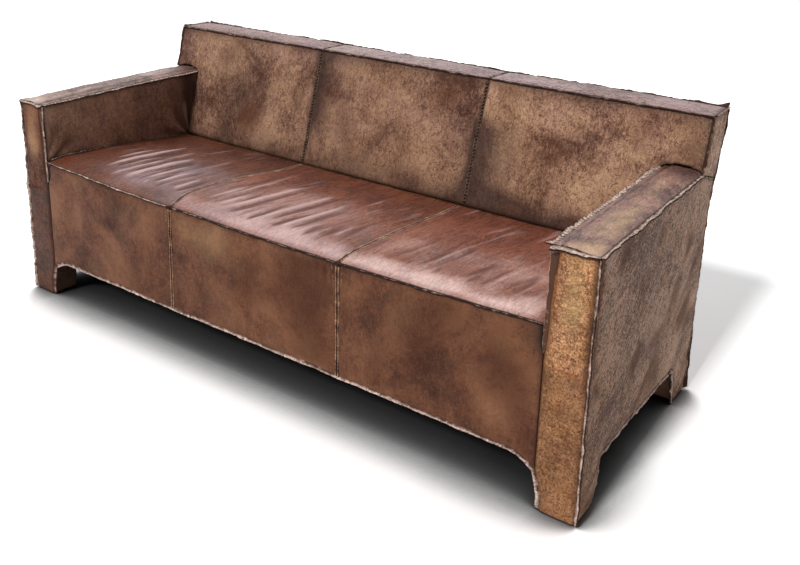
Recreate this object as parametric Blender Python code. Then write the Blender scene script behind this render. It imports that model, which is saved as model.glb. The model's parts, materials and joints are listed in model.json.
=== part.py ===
"""Three-seat sofa in worn leather: timber frame, webbing, foam and sewn leather panels.

Metres, +Z up. The origin is on the floor in the middle of the sofa, the front faces -Y
and the sofa is long along X. Left and right are as seen from the front.

The leather is sewn in panels. Each panel, pad, rail and strap field is an object of its
own, and pieces that touch keep a gap of TOUCH. Pieces are modelled with their sides
upright and the back's face at y = 0, and then take the sofa's lean:
  taper  narrows the whole sofa a little from the floor to the top of the back,
  rake   leans the parts of the back backwards.
"""
import bmesh
import bpy
from mathutils import Vector

# Overall sizes
ARM_SPAN = 1.960           # over both arms, at the top of the arms
BACK_HEIGHT = 0.8176
ARM_HEIGHT = 0.654         # at the front
ARM_RISE = 0.018           # how much higher the arm is where it meets the back
ARM_WIDTH = 0.107
FLARE = 0.014              # how far each side stands further out at the floor
HEM_HEIGHT = 0.135         # lower edge of the leather between the feet
TOUCH = 0.0003             # gap between pieces that touch
LEATHER = 0.0025

# Seat
SEAT_DEPTH = 0.588         # front edge to the face of the back
SEAT_FRONT_HEIGHT = 0.452  # in the middle of the front edge, where it has sunk
SEAT_SAG = 0.018           # how much higher the front edge is beside the arms
SEAT_REAR_HEIGHT = 0.443
SEAT_CROWN = 0.006
SEAT_SEAM = 0.306          # distance of the two seat seams from the middle

# Back
BACK_SEAM = 0.316
BACK_RAKE = 0.272          # how far the back leans for each metre of height
BACK_THICKNESS = 0.1245
BACK_CROWN = 0.006
TOP_CROWN = 0.006
KNEE_HEIGHT = 0.55         # the rear is upright below this height

# Feet
FOOT_WIDTH = 0.091
FOOT_DEPTH = 0.0875
REAR_FOOT_FRONT = 0.655
REAR_FACE = 0.742
PAD_HEIGHT = 0.008
FOOT_HEM = 0.004           # the leather on the feet ends this high above the floor

# Frame, webbing and padding
RAIL = 0.028               # thickness of the boards
RAIL_BOTTOM = 0.137
RAIL_TOP = 0.340
LINING = 0.0105            # thin foam on the apron, the arms and the top
BACK_FOAM = 0.057
WEBBING = 0.0025
STRAP = 0.050

HALF = ARM_SPAN / 2
ARM_INNER = HALF - ARM_WIDTH
POST_INNER = ARM_INNER + LEATHER + LINING + 2 * TOUCH + 0.002
POST_OUTER = HALF - LEATHER - TOUCH
SIDES = {"left": -1, "right": 1}
SMALL = 1e-6

LEATHER_BROWN = (0.135, 0.066, 0.038)


def face_of_back(z):
    """How far behind the front of the sofa the face of the back is at height z."""
    return SEAT_DEPTH + BACK_RAKE * (z - SEAT_REAR_HEIGHT)


def rear_of_back(z):
    """The same for the rear, which is upright below the knee."""
    return max(REAR_FACE, face_of_back(z) + BACK_THICKNESS)


def arm_height(y):
    return ARM_HEIGHT + ARM_RISE * y / face_of_back(ARM_HEIGHT)


def crown(position, edges):
    """1 in the middle between two of the edges and 0 on them."""
    low = max(e for e in edges[:-1] if e <= position + SMALL)
    high = min(e for e in edges[1:] if e >= position - SMALL)
    if high - low < SMALL:
        return 0.0
    across = 2 * (position - low) / (high - low) - 1
    return 1 - across * across


def seat_height(x, y):
    """Top of the leather seat, sunk between the arms and crowned between its seams."""
    front = SEAT_FRONT_HEIGHT + SEAT_SAG * (x / ARM_INNER) ** 2
    along = min(y / SEAT_DEPTH, 1.0)
    edges = (-ARM_INNER, -SEAT_SEAM, SEAT_SEAM, ARM_INNER)
    height = front + (SEAT_REAR_HEIGHT - front) * along
    return height + SEAT_CROWN * crown(x, edges) * (1 - (2 * along - 1) ** 2)


def spread(low, high, count):
    """count + 1 evenly spaced values from low to high."""
    return [low + (high - low) * i / count for i in range(count + 1)]


def clear_scene():
    for old in list(bpy.data.objects):
        bpy.data.objects.remove(old, do_unlink=True)


def material(name, colour, roughness):
    made = bpy.data.materials.new(name)
    made.use_nodes = True
    shader = made.node_tree.nodes["Principled BSDF"]
    shader.inputs["Base Color"].default_value = (*colour, 1.0)
    shader.inputs["Roughness"].default_value = roughness
    shader.inputs["Metallic"].default_value = 0.0
    return made


def taper(bm):
    for v in bm.verts:
        v.co.x *= 1 + FLARE / HALF * (1 - v.co.z / ARM_HEIGHT)


def rake(bm):
    for v in bm.verts:
        v.co.y += face_of_back(v.co.z)


def finish(name, bm, finish_material, edge=0.0):
    """Turns the mesh into a named object, with an optional small bevel on its edges."""
    taper(bm)
    bmesh.ops.translate(bm, verts=bm.verts, vec=(0, -rear_of_back(BACK_HEIGHT) / 2, 0))
    bmesh.ops.recalc_face_normals(bm, faces=bm.faces[:])
    if bm.calc_volume(signed=True) < 0:
        bmesh.ops.reverse_faces(bm, faces=bm.faces[:])
    mesh = bpy.data.meshes.new(name)
    bm.to_mesh(mesh)
    bm.free()
    mesh.materials.append(finish_material)
    made = bpy.data.objects.new(name, mesh)
    bpy.context.scene.collection.objects.link(made)
    if edge:
        bevel = made.modifiers.new("edge", "BEVEL")
        bevel.width = edge
        bevel.segments = 1
    return made


def prism(outline, along, start, end):
    """A bmesh of an outline of (a, b) points, extruded along X, Y or Z."""
    bm = bmesh.new()
    placed = {
        "X": lambda a, b: (start, a, b),
        "Y": lambda a, b: (a, start, b),
        "Z": lambda a, b: (a, b, start),
    }[along]
    bm.faces.new([bm.verts.new(placed(a, b)) for a, b in outline])
    swept = bmesh.ops.extrude_face_region(bm, geom=bm.faces[:])["geom"]
    moved = [g for g in swept if isinstance(g, bmesh.types.BMVert)]
    bmesh.ops.translate(bm, verts=moved, vec={
        "X": Vector((end - start, 0, 0)),
        "Y": Vector((0, end - start, 0)),
        "Z": Vector((0, 0, end - start)),
    }[along])
    return bm


def block(low, high):
    outline = [(low[0], low[1]), (high[0], low[1]), (high[0], high[1]), (low[0], high[1])]
    return prism(outline, "Z", low[2], high[2])


def slab(us, vs, outer, inner):
    """A closed sheet: a grid over us and vs whose two faces are given by functions."""
    bm = bmesh.new()
    across, up = len(us) - 1, len(vs) - 1
    bmesh.ops.create_grid(bm, x_segments=across, y_segments=up, size=0.5)
    place = {}
    for v in bm.verts:
        place[v] = (us[round((v.co.x + 0.5) * across)], vs[round((v.co.y + 0.5) * up)])
        v.co = Vector(outer(*place[v]))
    near = {tuple(round(c, 7) for c in v.co): place[v] for v in bm.verts}
    swept = bmesh.ops.extrude_face_region(bm, geom=bm.faces[:])["geom"]
    for g in swept:
        if isinstance(g, bmesh.types.BMVert):
            g.co = Vector(inner(*near[tuple(round(c, 7) for c in g.co)]))
    return bm


def lattice(across, along, low, high):
    """Straps at the given centres across and along a field, fused where they cross."""
    def lines(centres, start, end):
        cuts = {start, end}
        for c in centres:
            cuts |= {c - STRAP / 2, c + STRAP / 2}
        return sorted(cuts)

    us, vs = lines(across, low[0], high[0]), lines(along, low[1], high[1])
    bm = bmesh.new()
    grid = [[bm.verts.new((u, v, 0)) for v in vs] for u in us]
    for i in range(len(us) - 1):
        for j in range(len(vs) - 1):
            middle = ((us[i] + us[i + 1]) / 2, (vs[j] + vs[j + 1]) / 2)
            on_strap = (any(abs(middle[0] - c) < STRAP / 2 for c in across)
                        or any(abs(middle[1] - c) < STRAP / 2 for c in along))
            if on_strap:
                bm.faces.new((grid[i][j], grid[i + 1][j], grid[i + 1][j + 1], grid[i][j + 1]))
    bmesh.ops.delete(bm, geom=[v for v in bm.verts if not v.link_faces], context="VERTS")
    swept = bmesh.ops.extrude_face_region(bm, geom=bm.faces[:])["geom"]
    moved = [g for g in swept if isinstance(g, bmesh.types.BMVert)]
    bmesh.ops.translate(bm, verts=moved, vec=(0, 0, WEBBING))
    return bm


def mirrored(outline, side):
    return [(a * side, b) for a, b in outline]


def seat_frame(timber):
    """Front and rear rails, two bars between them, and a glued block in each corner."""
    front = (LEATHER + LINING + 2 * TOUCH, LEATHER + LINING + 2 * TOUCH + RAIL)
    rear = (REAR_FACE - LEATHER - TOUCH - RAIL, REAR_FACE - LEATHER - TOUCH)
    reach = POST_INNER - TOUCH
    for name, (low, high) in {"front_rail": front, "rear_rail": rear}.items():
        rail = block((-reach, low, RAIL_BOTTOM), (reach, high, RAIL_TOP))
        finish(name, rail, timber, 0.002)
    for name, side in SIDES.items():
        middle = side * SEAT_SEAM
        bar = block((middle - RAIL / 2, front[1] + TOUCH, RAIL_BOTTOM),
                    (middle + RAIL / 2, rear[0] - TOUCH, RAIL_BOTTOM + 0.06))
        finish(f"seat_bar_{name}", bar, timber, 0.002)
        places = {"front": (front[1] + TOUCH, FOOT_DEPTH - 0.005),
                  "rear": (rear[0] - TOUCH, REAR_FOOT_FRONT + 0.008)}
        for place, (on_rail, on_post) in places.items():
            outline = [(reach, on_rail), (reach, on_post), (reach - 0.060, on_rail)]
            wedge = prism(mirrored(outline, side), "Z", 0.16, 0.26)
            finish(f"corner_block_{place}_{name}", wedge, timber)


def posts(name, side, timber):
    """The posts run from the feet to the arm in front, and to the top rail behind."""
    front_post = [
        (LEATHER + TOUCH, PAD_HEIGHT + TOUCH),
        (FOOT_DEPTH - LEATHER - TOUCH, PAD_HEIGHT + TOUCH),
        (FOOT_DEPTH - LEATHER - TOUCH, ARM_HEIGHT - 0.042),
        (LEATHER + TOUCH, ARM_HEIGHT - 0.042),
    ]
    made = prism(front_post, "X", side * POST_INNER, side * POST_OUTER)
    finish(f"front_post_{name}", made, timber, 0.002)
    back = LEATHER + TOUCH
    top = BACK_HEIGHT - LEATHER - LINING - 2 * TOUCH - 0.002
    hollow = LEATHER + BACK_FOAM + WEBBING + 3 * TOUCH
    rear_post = [
        (REAR_FOOT_FRONT + LEATHER + TOUCH, PAD_HEIGHT + TOUCH),
        (REAR_FACE - back, PAD_HEIGHT + TOUCH),
        (REAR_FACE - back, KNEE_HEIGHT),
        (rear_of_back(top) - back, top),
        (face_of_back(top) + hollow, top),
        (face_of_back(KNEE_HEIGHT) + hollow, KNEE_HEIGHT),
        (REAR_FOOT_FRONT + LEATHER + TOUCH, KNEE_HEIGHT - 0.06),
    ]
    made = prism(rear_post, "X", side * POST_INNER, side * POST_OUTER)
    finish(f"rear_post_{name}", made, timber, 0.002)


def arm_frame(name, side, timber):
    """Lower side rail between the posts, and the flat board under the arm's top."""
    low = FOOT_DEPTH - LEATHER
    rail = block((min(side * (POST_OUTER - RAIL), side * POST_OUTER), low, RAIL_BOTTOM),
                 (max(side * (POST_OUTER - RAIL), side * POST_OUTER),
                  REAR_FOOT_FRONT + LEATHER, RAIL_BOTTOM + 0.1))
    finish(f"side_rail_{name}", rail, timber, 0.002)
    end = REAR_FOOT_FRONT + 0.004
    drop = LEATHER + LINING + 2 * TOUCH + 0.0005
    board = [
        (LEATHER + TOUCH, arm_height(0) - drop - 0.026),
        (end, arm_height(end) - drop - 0.026),
        (end, arm_height(end) - drop),
        (LEATHER + TOUCH, arm_height(0) - drop),
    ]
    made = prism(board, "X", side * POST_INNER, side * POST_OUTER)
    finish(f"arm_board_{name}", made, timber, 0.002)


def back_frame(timber):
    """Top and lower rails between the rear posts, and two uprights between the rails."""
    depth = LEATHER + BACK_FOAM + WEBBING + 4 * TOUCH
    rear = BACK_THICKNESS - LEATHER - TOUCH
    top = BACK_HEIGHT - LEATHER - LINING - 2 * TOUCH - 0.002
    reach = POST_INNER - TOUCH
    low_rail, top_rail = (0.47, 0.54), (top - 0.070, top)
    for name, (low, high) in {"back_low_rail": low_rail, "back_top_rail": top_rail}.items():
        rail = block((-reach, depth, low), (reach, rear - 0.004, high))
        rake(rail)
        finish(name, rail, timber, 0.002)
    for name, side in SIDES.items():
        middle = side * BACK_SEAM
        upright = block((middle - 0.025, depth, low_rail[1] + TOUCH),
                        (middle + 0.025, rear - 0.004, top_rail[0] - TOUCH))
        rake(upright)
        finish(f"back_upright_{name}", upright, timber, 0.002)


def webbing(jute):
    """Straps over the seat rails, and straps on the face of the back frame."""
    reach, front, rear = 0.860, LEATHER + LINING + 2 * TOUCH, REAR_FACE - LEATHER - 2 * TOUCH
    seat = lattice(spread(-0.80, 0.80, 10), (0.20, 0.37, 0.54), (-reach, front), (reach, rear))
    bmesh.ops.translate(seat, verts=seat.verts, vec=(0, 0, RAIL_TOP + TOUCH))
    finish("seat_webbing", seat, jute)
    back = lattice(spread(-0.78, 0.78, 8), (0.505, 0.635, 0.765), (-reach, 0.475), (reach, 0.797))
    for v in back.verts:
        v.co.y, v.co.z = v.co.z + LEATHER + BACK_FOAM + 2 * TOUCH, v.co.y
    rake(back)
    finish("back_webbing", back, jute)


def padding(foam):
    """Foam on the seat, the back, the apron, the arms and the top of the back."""
    reach = ARM_INNER - TOUCH - 0.0005
    edges = (-ARM_INNER, -SEAT_SEAM, SEAT_SEAM, ARM_INNER)
    xs = (spread(-reach, -SEAT_SEAM, 6)[:-1] + spread(-SEAT_SEAM, SEAT_SEAM, 6)
          + spread(SEAT_SEAM, reach, 6)[1:])
    ys = spread(LEATHER + TOUCH, SEAT_DEPTH, 6) + [0.650]
    bottom = RAIL_TOP + WEBBING + 2 * TOUCH
    seat = slab(xs, ys, lambda x, y: (x, y, seat_height(x, y) - LEATHER - TOUCH),
                lambda x, y: (x, y, bottom))
    finish("seat_foam", seat, foam)
    low, high = SEAT_REAR_HEIGHT + 0.004, BACK_HEIGHT - LEATHER - LINING - 3 * TOUCH - 0.002
    shoulder = arm_height(SEAT_DEPTH) + 0.010
    wide, narrow = POST_OUTER - 0.001, reach
    outline = [(-narrow, low), (narrow, low), (narrow, shoulder), (wide, shoulder),
               (wide, high), (-wide, high), (-wide, shoulder), (-narrow, shoulder)]
    back = prism(outline, "Y", LEATHER + TOUCH, LEATHER + TOUCH + BACK_FOAM)
    rake(back)
    finish("back_foam", back, foam)
    apron = block((-POST_INNER + TOUCH, LEATHER + TOUCH, RAIL_BOTTOM),
                  (POST_INNER - TOUCH, LEATHER + TOUCH + LINING, RAIL_TOP))
    finish("apron_lining", apron, foam)
    top = BACK_HEIGHT - LEATHER - TOUCH
    cap = block((-wide, LEATHER + TOUCH, top - LINING - 0.0015),
                (wide, BACK_THICKNESS - LEATHER - TOUCH, top))
    rake(cap)
    finish("top_lining", cap, foam)
    for name, side in SIDES.items():
        inner = ARM_INNER + LEATHER + TOUCH
        outer = inner + LINING + 0.0015
        under = arm_height(0) - LEATHER - TOUCH
        section = [(inner, RAIL_TOP + 0.005), (inner, under), (wide, under),
                   (wide, under - LINING), (outer, under - LINING), (outer, RAIL_TOP + 0.005)]
        arm = prism(mirrored(section, side), "Y", LEATHER + TOUCH, face_of_back(0.60))
        for v in arm.verts:
            if v.co.z > ARM_HEIGHT - 0.1:
                v.co.z += arm_height(v.co.y) - ARM_HEIGHT
        finish(f"arm_lining_{name}", arm, foam)


def seat_leather(hide):
    """Three seat panels from front to back, sewn side by side."""
    ends = {"left": (-ARM_INNER + 2 * TOUCH, -SEAT_SEAM - TOUCH),
            "middle": (-SEAT_SEAM, SEAT_SEAM),
            "right": (SEAT_SEAM + TOUCH, ARM_INNER - 2 * TOUCH)}
    for name, (low, high) in ends.items():
        panel = slab(spread(low, high, 6), spread(0.0, SEAT_DEPTH - TOUCH, 6),
                     lambda x, y: (x, y, seat_height(x, y)),
                     lambda x, y: (x, y, seat_height(x, y) - LEATHER))
        finish(f"seat_panel_{name}", panel, hide)


def hem_line(x):
    """Lower edge of the apron, which curves down into the feet."""
    past = max(0.0, abs(x) - (ARM_INNER - 0.075)) / 0.075
    return HEM_HEIGHT - 0.031 * past ** 2


def apron_leather(hide):
    """Three apron panels under the seat's front edge."""
    ends = {"left": (-ARM_INNER + 2 * TOUCH, -SEAT_SEAM - TOUCH),
            "middle": (-SEAT_SEAM, SEAT_SEAM),
            "right": (SEAT_SEAM + TOUCH, ARM_INNER - 2 * TOUCH)}
    for name, (low, high) in ends.items():
        near_foot = 0.075 if name != "middle" else 0.0
        xs = spread(low, high, 8)
        if name == "left":
            xs = spread(low, low + near_foot, 6)[:-1] + spread(low + near_foot, high, 6)
        if name == "right":
            xs = spread(low, high - near_foot, 6)[:-1] + spread(high - near_foot, high, 6)

        def at(x, up, y):
            top = seat_height(x, 0) - LEATHER - TOUCH
            return (x, y, hem_line(x) + (top - hem_line(x)) * up)

        panel = slab(xs, [0.0, 1.0], lambda x, up: at(x, up, 0.0),
                     lambda x, up: at(x, up, LEATHER))
        finish(f"apron_{name}", panel, hide)


def back_leather(hide):
    """Three face panels, three top panels and the rear panel of the back."""
    top = BACK_HEIGHT - LEATHER - TOUCH
    low = SEAT_REAR_HEIGHT + TOUCH
    shoulder = arm_height(SEAT_DEPTH) + 0.010
    middle = [(-BACK_SEAM, low), (BACK_SEAM, low), (BACK_SEAM, top), (-BACK_SEAM, top)]
    outer = [(BACK_SEAM + TOUCH, low), (ARM_INNER - 2 * TOUCH, low),
             (ARM_INNER - 2 * TOUCH, shoulder), (HALF - LEATHER - TOUCH, shoulder),
             (HALF - LEATHER - TOUCH, top), (BACK_SEAM + TOUCH, top)]
    outlines = {"middle": middle, "left": mirrored(outer, -1), "right": outer}
    for name, outline in outlines.items():
        panel = prism(outline, "Y", 0.0, LEATHER)
        rake(panel)
        finish(f"back_panel_{name}", panel, hide)
    front, rear = face_of_back(BACK_HEIGHT), rear_of_back(BACK_HEIGHT)
    ends = {"left": (-HALF, -BACK_SEAM - TOUCH), "middle": (-BACK_SEAM, BACK_SEAM),
            "right": (BACK_SEAM + TOUCH, HALF)}
    seams = (-HALF, -BACK_SEAM - TOUCH, BACK_SEAM, HALF)
    for name, (start, end) in ends.items():
        def height(x, y):
            across = 2 * (y - front) / (rear - front) - 1
            return BACK_HEIGHT + TOP_CROWN * crown(x, seams) * (1 - across ** 2)

        panel = slab(spread(start, end, 6), spread(front, rear, 4),
                     lambda x, y: (x, y, height(x, y)),
                     lambda x, y: (x, y, height(x, y) - LEATHER))
        finish(f"top_panel_{name}", panel, hide)
    outline = [(REAR_FACE, HEM_HEIGHT), (REAR_FACE, KNEE_HEIGHT), (rear_of_back(top), top),
               (rear_of_back(top) - LEATHER, top), (REAR_FACE - LEATHER, KNEE_HEIGHT),
               (REAR_FACE - LEATHER, HEM_HEIGHT)]
    reach = HALF - LEATHER - TOUCH
    panel = prism(outline, "X", -reach, reach)
    finish("rear_panel", panel, hide)


def arm_leather(name, side, hide):
    """Top, inner, front and outer panels of one arm, and the end of the back above it."""
    end = face_of_back(arm_height(SEAT_DEPTH)) - TOUCH
    inner, outer = side * ARM_INNER, side * HALF

    def top(x, y):
        across = 2 * (abs(x) - ARM_INNER) / ARM_WIDTH - 1
        return arm_height(y) + 0.004 * (1 - across * across)

    made = slab(spread(inner, outer, 4), spread(0.0, end, 6),
                lambda x, y: (x, y, top(x, y)), lambda x, y: (x, y, top(x, y) - LEATHER))
    finish(f"arm_top_{name}", made, hide)
    drop = LEATHER + TOUCH
    tuck = face_of_back(RAIL_TOP) + 0.04
    outline = [(drop, RAIL_TOP + 0.005), (tuck, RAIL_TOP + 0.005),
               (end - TOUCH, arm_height(end) - drop), (drop, arm_height(0) - drop)]
    made = prism(outline, "X", inner, side * (ARM_INNER + LEATHER))
    finish(f"arm_inner_{name}", made, hide)
    outline = [(ARM_INNER, arm_height(0) - drop), (ARM_INNER, HEM_HEIGHT - 0.031),
               (HALF - FOOT_WIDTH, FOOT_HEM), (HALF, FOOT_HEM), (HALF, arm_height(0) - drop)]
    made = prism(mirrored(outline, side), "Y", 0.0, LEATHER)
    finish(f"arm_front_{name}", made, hide)
    notch = [(FOOT_DEPTH, FOOT_HEM), (FOOT_DEPTH + 0.020, 0.085), (FOOT_DEPTH + 0.030, 0.115),
             (FOOT_DEPTH + 0.050, 0.130), (REAR_FOOT_FRONT - 0.070, 0.130),
             (REAR_FOOT_FRONT - 0.050, 0.115), (REAR_FOOT_FRONT - 0.035, 0.085),
             (REAR_FOOT_FRONT, FOOT_HEM)]
    brow = face_of_back(arm_height(SEAT_DEPTH))
    corner = (0.765, 0.637)
    outline = ([(drop, FOOT_HEM)] + notch
               + [(REAR_FACE, FOOT_HEM), (REAR_FACE, KNEE_HEIGHT), corner,
                  (brow, arm_height(brow) - drop), (drop, arm_height(0) - drop)])
    made = prism(outline, "X", side * (HALF - LEATHER), outer)
    finish(f"arm_outer_{name}", made, hide)
    crest = BACK_HEIGHT - drop
    outline = [(brow + TOUCH, arm_height(brow) + 0.005), (corner[0] + TOUCH, corner[1] + 0.001),
               (rear_of_back(crest), crest), (face_of_back(crest), crest)]
    made = prism(outline, "X", side * (HALF - LEATHER), outer)
    finish(f"back_end_{name}", made, hide)


def leg_wraps(name, side, hide):
    """Leather round the sides of each foot that the arm's own panels leave open."""
    inner, outer = POST_INNER - TOUCH, POST_OUTER
    top, low = HEM_HEIGHT - 0.002, FOOT_HEM
    rear = FOOT_DEPTH - LEATHER
    outline = [(inner, LEATHER + TOUCH), (inner, rear), (outer, rear), (outer, FOOT_DEPTH),
               (inner - LEATHER, FOOT_DEPTH), (inner - LEATHER, LEATHER + TOUCH)]
    made = prism(mirrored(outline, side), "Z", low, top)
    finish(f"leg_wrap_front_{name}", made, hide)
    front, back = REAR_FOOT_FRONT, REAR_FACE
    outline = [(outer, front), (inner - LEATHER, front), (inner - LEATHER, back),
               (outer, back), (outer, back - LEATHER), (inner, back - LEATHER),
               (inner, front + LEATHER), (outer, front + LEATHER)]
    made = prism(mirrored(outline, side), "Z", low, top)
    finish(f"leg_wrap_rear_{name}", made, hide)


def dust_cover(cloth):
    """Thin cloth stapled under the rails, cut out round the feet."""
    wide, narrow = POST_OUTER - 0.004, POST_INNER - LEATHER - 3 * TOUCH - 0.001
    near, far = FOOT_DEPTH + TOUCH, REAR_FOOT_FRONT - TOUCH
    front, rear = LEATHER + LINING + 0.004, REAR_FACE - LEATHER - 0.004
    quarter = [(narrow, front), (narrow, near), (wide, near), (wide, far), (narrow, far),
               (narrow, rear)]
    outline = quarter + [(-x, y) for x, y in reversed(quarter)]
    made = prism(outline, "Z", HEM_HEIGHT, HEM_HEIGHT + 0.0015)
    finish("dust_cover", made, cloth)


def foot_pads(name, side, plastic):
    """A moulded pad nailed under each foot."""
    middle = side * (POST_INNER + POST_OUTER) / 2
    for place, (low, high) in {"front": (0.014, 0.074), "rear": (0.672, 0.732)}.items():
        pad = block((middle - 0.034, low, 0.0), (middle + 0.034, high, PAD_HEIGHT))
        finish(f"foot_pad_{place}_{name}", pad, plastic, 0.0015)


def build():
    clear_scene()
    timber = material("beech_timber", (0.45, 0.27, 0.13), 0.6)
    jute = material("jute_webbing", (0.35, 0.24, 0.13), 0.9)
    foam = material("upholstery_foam", (0.62, 0.55, 0.38), 0.95)
    hide = material("worn_leather", LEATHER_BROWN, 0.5)
    cloth = material("black_lining_cloth", (0.02, 0.02, 0.02), 0.95)
    plastic = material("black_plastic", (0.015, 0.015, 0.015), 0.5)
    seat_frame(timber)
    back_frame(timber)
    webbing(jute)
    padding(foam)
    seat_leather(hide)
    apron_leather(hide)
    back_leather(hide)
    dust_cover(cloth)
    for name, side in SIDES.items():
        posts(name, side, timber)
        arm_frame(name, side, timber)
        arm_leather(name, side, hide)
        leg_wraps(name, side, hide)
        foot_pads(name, side, plastic)


build()
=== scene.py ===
"""Looks of the worn three-seat leather sofa, built around its packed construction.

Every leather panel is a thin sheet over the place that its plain solid holds. The panels
meet in turned-out seams: the raw edges of both skins stand proud as a wavy double fin.
Distances are metres. Depth means distance out of a panel's own surface, and a panel is
laid out on its own plan, with a across it and b up it.
"""
import json
import math
from collections import namedtuple
from functools import partial

import bmesh
import bpy
from bpy.props import FloatProperty, FloatVectorProperty, PointerProperty
from mathutils import Matrix, Vector, noise

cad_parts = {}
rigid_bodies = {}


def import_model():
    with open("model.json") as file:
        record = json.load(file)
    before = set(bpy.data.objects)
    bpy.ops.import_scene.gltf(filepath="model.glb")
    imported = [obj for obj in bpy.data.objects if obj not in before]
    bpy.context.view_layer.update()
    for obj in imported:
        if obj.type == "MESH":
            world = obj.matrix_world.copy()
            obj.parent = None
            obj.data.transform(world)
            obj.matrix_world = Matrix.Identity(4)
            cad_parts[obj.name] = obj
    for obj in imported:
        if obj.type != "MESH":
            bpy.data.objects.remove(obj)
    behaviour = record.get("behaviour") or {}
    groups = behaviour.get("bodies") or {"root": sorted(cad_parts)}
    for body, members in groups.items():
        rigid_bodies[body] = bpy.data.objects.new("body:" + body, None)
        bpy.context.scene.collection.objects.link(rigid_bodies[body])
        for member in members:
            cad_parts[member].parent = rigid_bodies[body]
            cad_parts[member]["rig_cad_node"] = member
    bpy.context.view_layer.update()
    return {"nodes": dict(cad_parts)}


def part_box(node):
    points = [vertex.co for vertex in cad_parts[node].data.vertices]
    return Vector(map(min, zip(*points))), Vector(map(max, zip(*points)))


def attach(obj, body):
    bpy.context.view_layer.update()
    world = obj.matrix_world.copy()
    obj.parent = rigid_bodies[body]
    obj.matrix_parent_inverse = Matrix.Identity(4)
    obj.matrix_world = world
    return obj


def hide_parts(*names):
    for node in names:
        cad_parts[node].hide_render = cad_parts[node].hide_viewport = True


bl_info = {
    "name": "Worn Leather Sofa",
    "version": (1, 0, 0),
    "blender": (4, 5, 0),
    "location": "View3D > Sidebar > Sofa",
    "description": "Builds the leather, seams, padding and stage of a worn three-seat sofa",
    "category": "Object",
}

noise.seed_set(1)              # or else vector noise starts from the clock in every run

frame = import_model()
NODES = frame["nodes"]
SIDES = {"left": -1, "right": 1}
THIRDS = ("left", "middle", "right")


# ------------------------ sizes, from the frame

SKIN = 0.0022                  # thickness of the hide
PLAIN_HIDE = 0.0025            # and of its plain solid in the construction
BUTT = 0.0028                  # that thickness and the gap to the next solid
LIFT = 0.0026                  # the stuffing pushes every skin out by this much
VALLEY = 0.0036                # how deep a panel dips to a turned-out seam
GROOVE = VALLEY - LIFT         # so a seam lies this far inside the edge of the construction
ALLOWANCE = 0.010              # seam allowance round every panel

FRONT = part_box("arm_front_right")[0].y
FLOOR_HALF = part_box("arm_outer_right")[1].x
TOP_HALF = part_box("top_panel_right")[1].x
FOOT_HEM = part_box("arm_outer_right")[0].z
BACK_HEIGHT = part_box("back_panel_middle")[1].z + BUTT
ARM_FRONT_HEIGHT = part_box("arm_front_right")[1].z + BUTT
ARM_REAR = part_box("arm_top_right")[1].y
ARM_RISE = 0.018               # from the front of an arm to its rear
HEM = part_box("apron_middle")[0].z
HEM_DROP, HEM_CURVE = 0.031, 0.075      # the hem's fall into a foot, and how long it takes
NOTCH = 0.130                  # height of the cut-out between the feet at the sides
FRONT_CURVE, REAR_CURVE = 0.050, 0.070  # lengths of its two curved ends
REAR_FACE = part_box("leg_wrap_rear_right")[1].y
REAR_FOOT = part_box("leg_wrap_rear_right")[0].y
FRONT_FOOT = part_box("leg_wrap_front_right")[1].y
SEAT_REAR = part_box("seat_panel_middle")[1].y
SEAT_REAR_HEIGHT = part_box("back_panel_middle")[0].z
BACK_LOW, BACK_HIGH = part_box("back_panel_middle")
RAKE = (BACK_HIGH.y - PLAIN_HIDE - BACK_LOW.y) / (BACK_HIGH.z - BACK_LOW.z)
TILT = math.hypot(1.0, RAKE)
REAR_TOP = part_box("top_panel_middle")[1].y
KNEE = 0.55                    # the rear is upright below this height
SEAT_FRONT_HEIGHT = 0.452      # in the middle, where it has sunk most
SEAT_SAG = 0.018
SEAT_SEAM = 0.306
BACK_SEAM = 0.316
ARM_WIDTH = 0.107
FOOT_WIDTH = 0.091
SLIT = 0.408                   # height at which the arm's inner front seam ends


def half_width(z):
    """Half the sofa's width at height z: its sides lean out towards the floor."""
    return FLOOR_HALF + (TOP_HALF - FLOOR_HALF) * (z - FOOT_HEM) / (BACK_HEIGHT - FOOT_HEM)


HALF = half_width(ARM_FRONT_HEIGHT)
ARM_INNER = HALF - ARM_WIDTH
LEG_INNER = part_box("leg_wrap_front_right")[0].x * HALF / half_width(0.13)


def face_of_back(z):
    """Y of the back's face, which leans back."""
    return SEAT_REAR + RAKE * (z - SEAT_REAR_HEIGHT)


def rear_of_back(z):
    """Y of the rear, which is upright up to the knee and then leans."""
    return REAR_FACE + max(0.0, z - KNEE) * (REAR_TOP - REAR_FACE) / (BACK_HEIGHT - KNEE)


def arm_height(y):
    return ARM_FRONT_HEIGHT + ARM_RISE * (y - FRONT) / (ARM_REAR - FRONT)


def seat_height(x, y):
    """The seat has sunk in the middle of its front edge and falls towards the back."""
    front = SEAT_FRONT_HEIGHT + SEAT_SAG * (x / ARM_INNER) ** 2
    share = min(max((y - FRONT) / (SEAT_REAR - FRONT), 0.0), 1.0)
    return front + (SEAT_REAR_HEIGHT - front) * share


def hem_line(x):
    """Lower edge of the apron, which curves down into the feet."""
    past = max(0.0, abs(x) - (ARM_INNER - HEM_CURVE)) / HEM_CURVE
    return HEM - HEM_DROP * past ** 2


def foot_inner(z):
    """Inner edge of an arm's front panel, which widens into the foot below the hem."""
    past = max(0.0, HEM - HEM_DROP - z) / (HEM - HEM_DROP)
    return ARM_INNER + (HALF - FOOT_WIDTH - ARM_INNER) * min(1.0, 1.6 * past)


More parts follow.
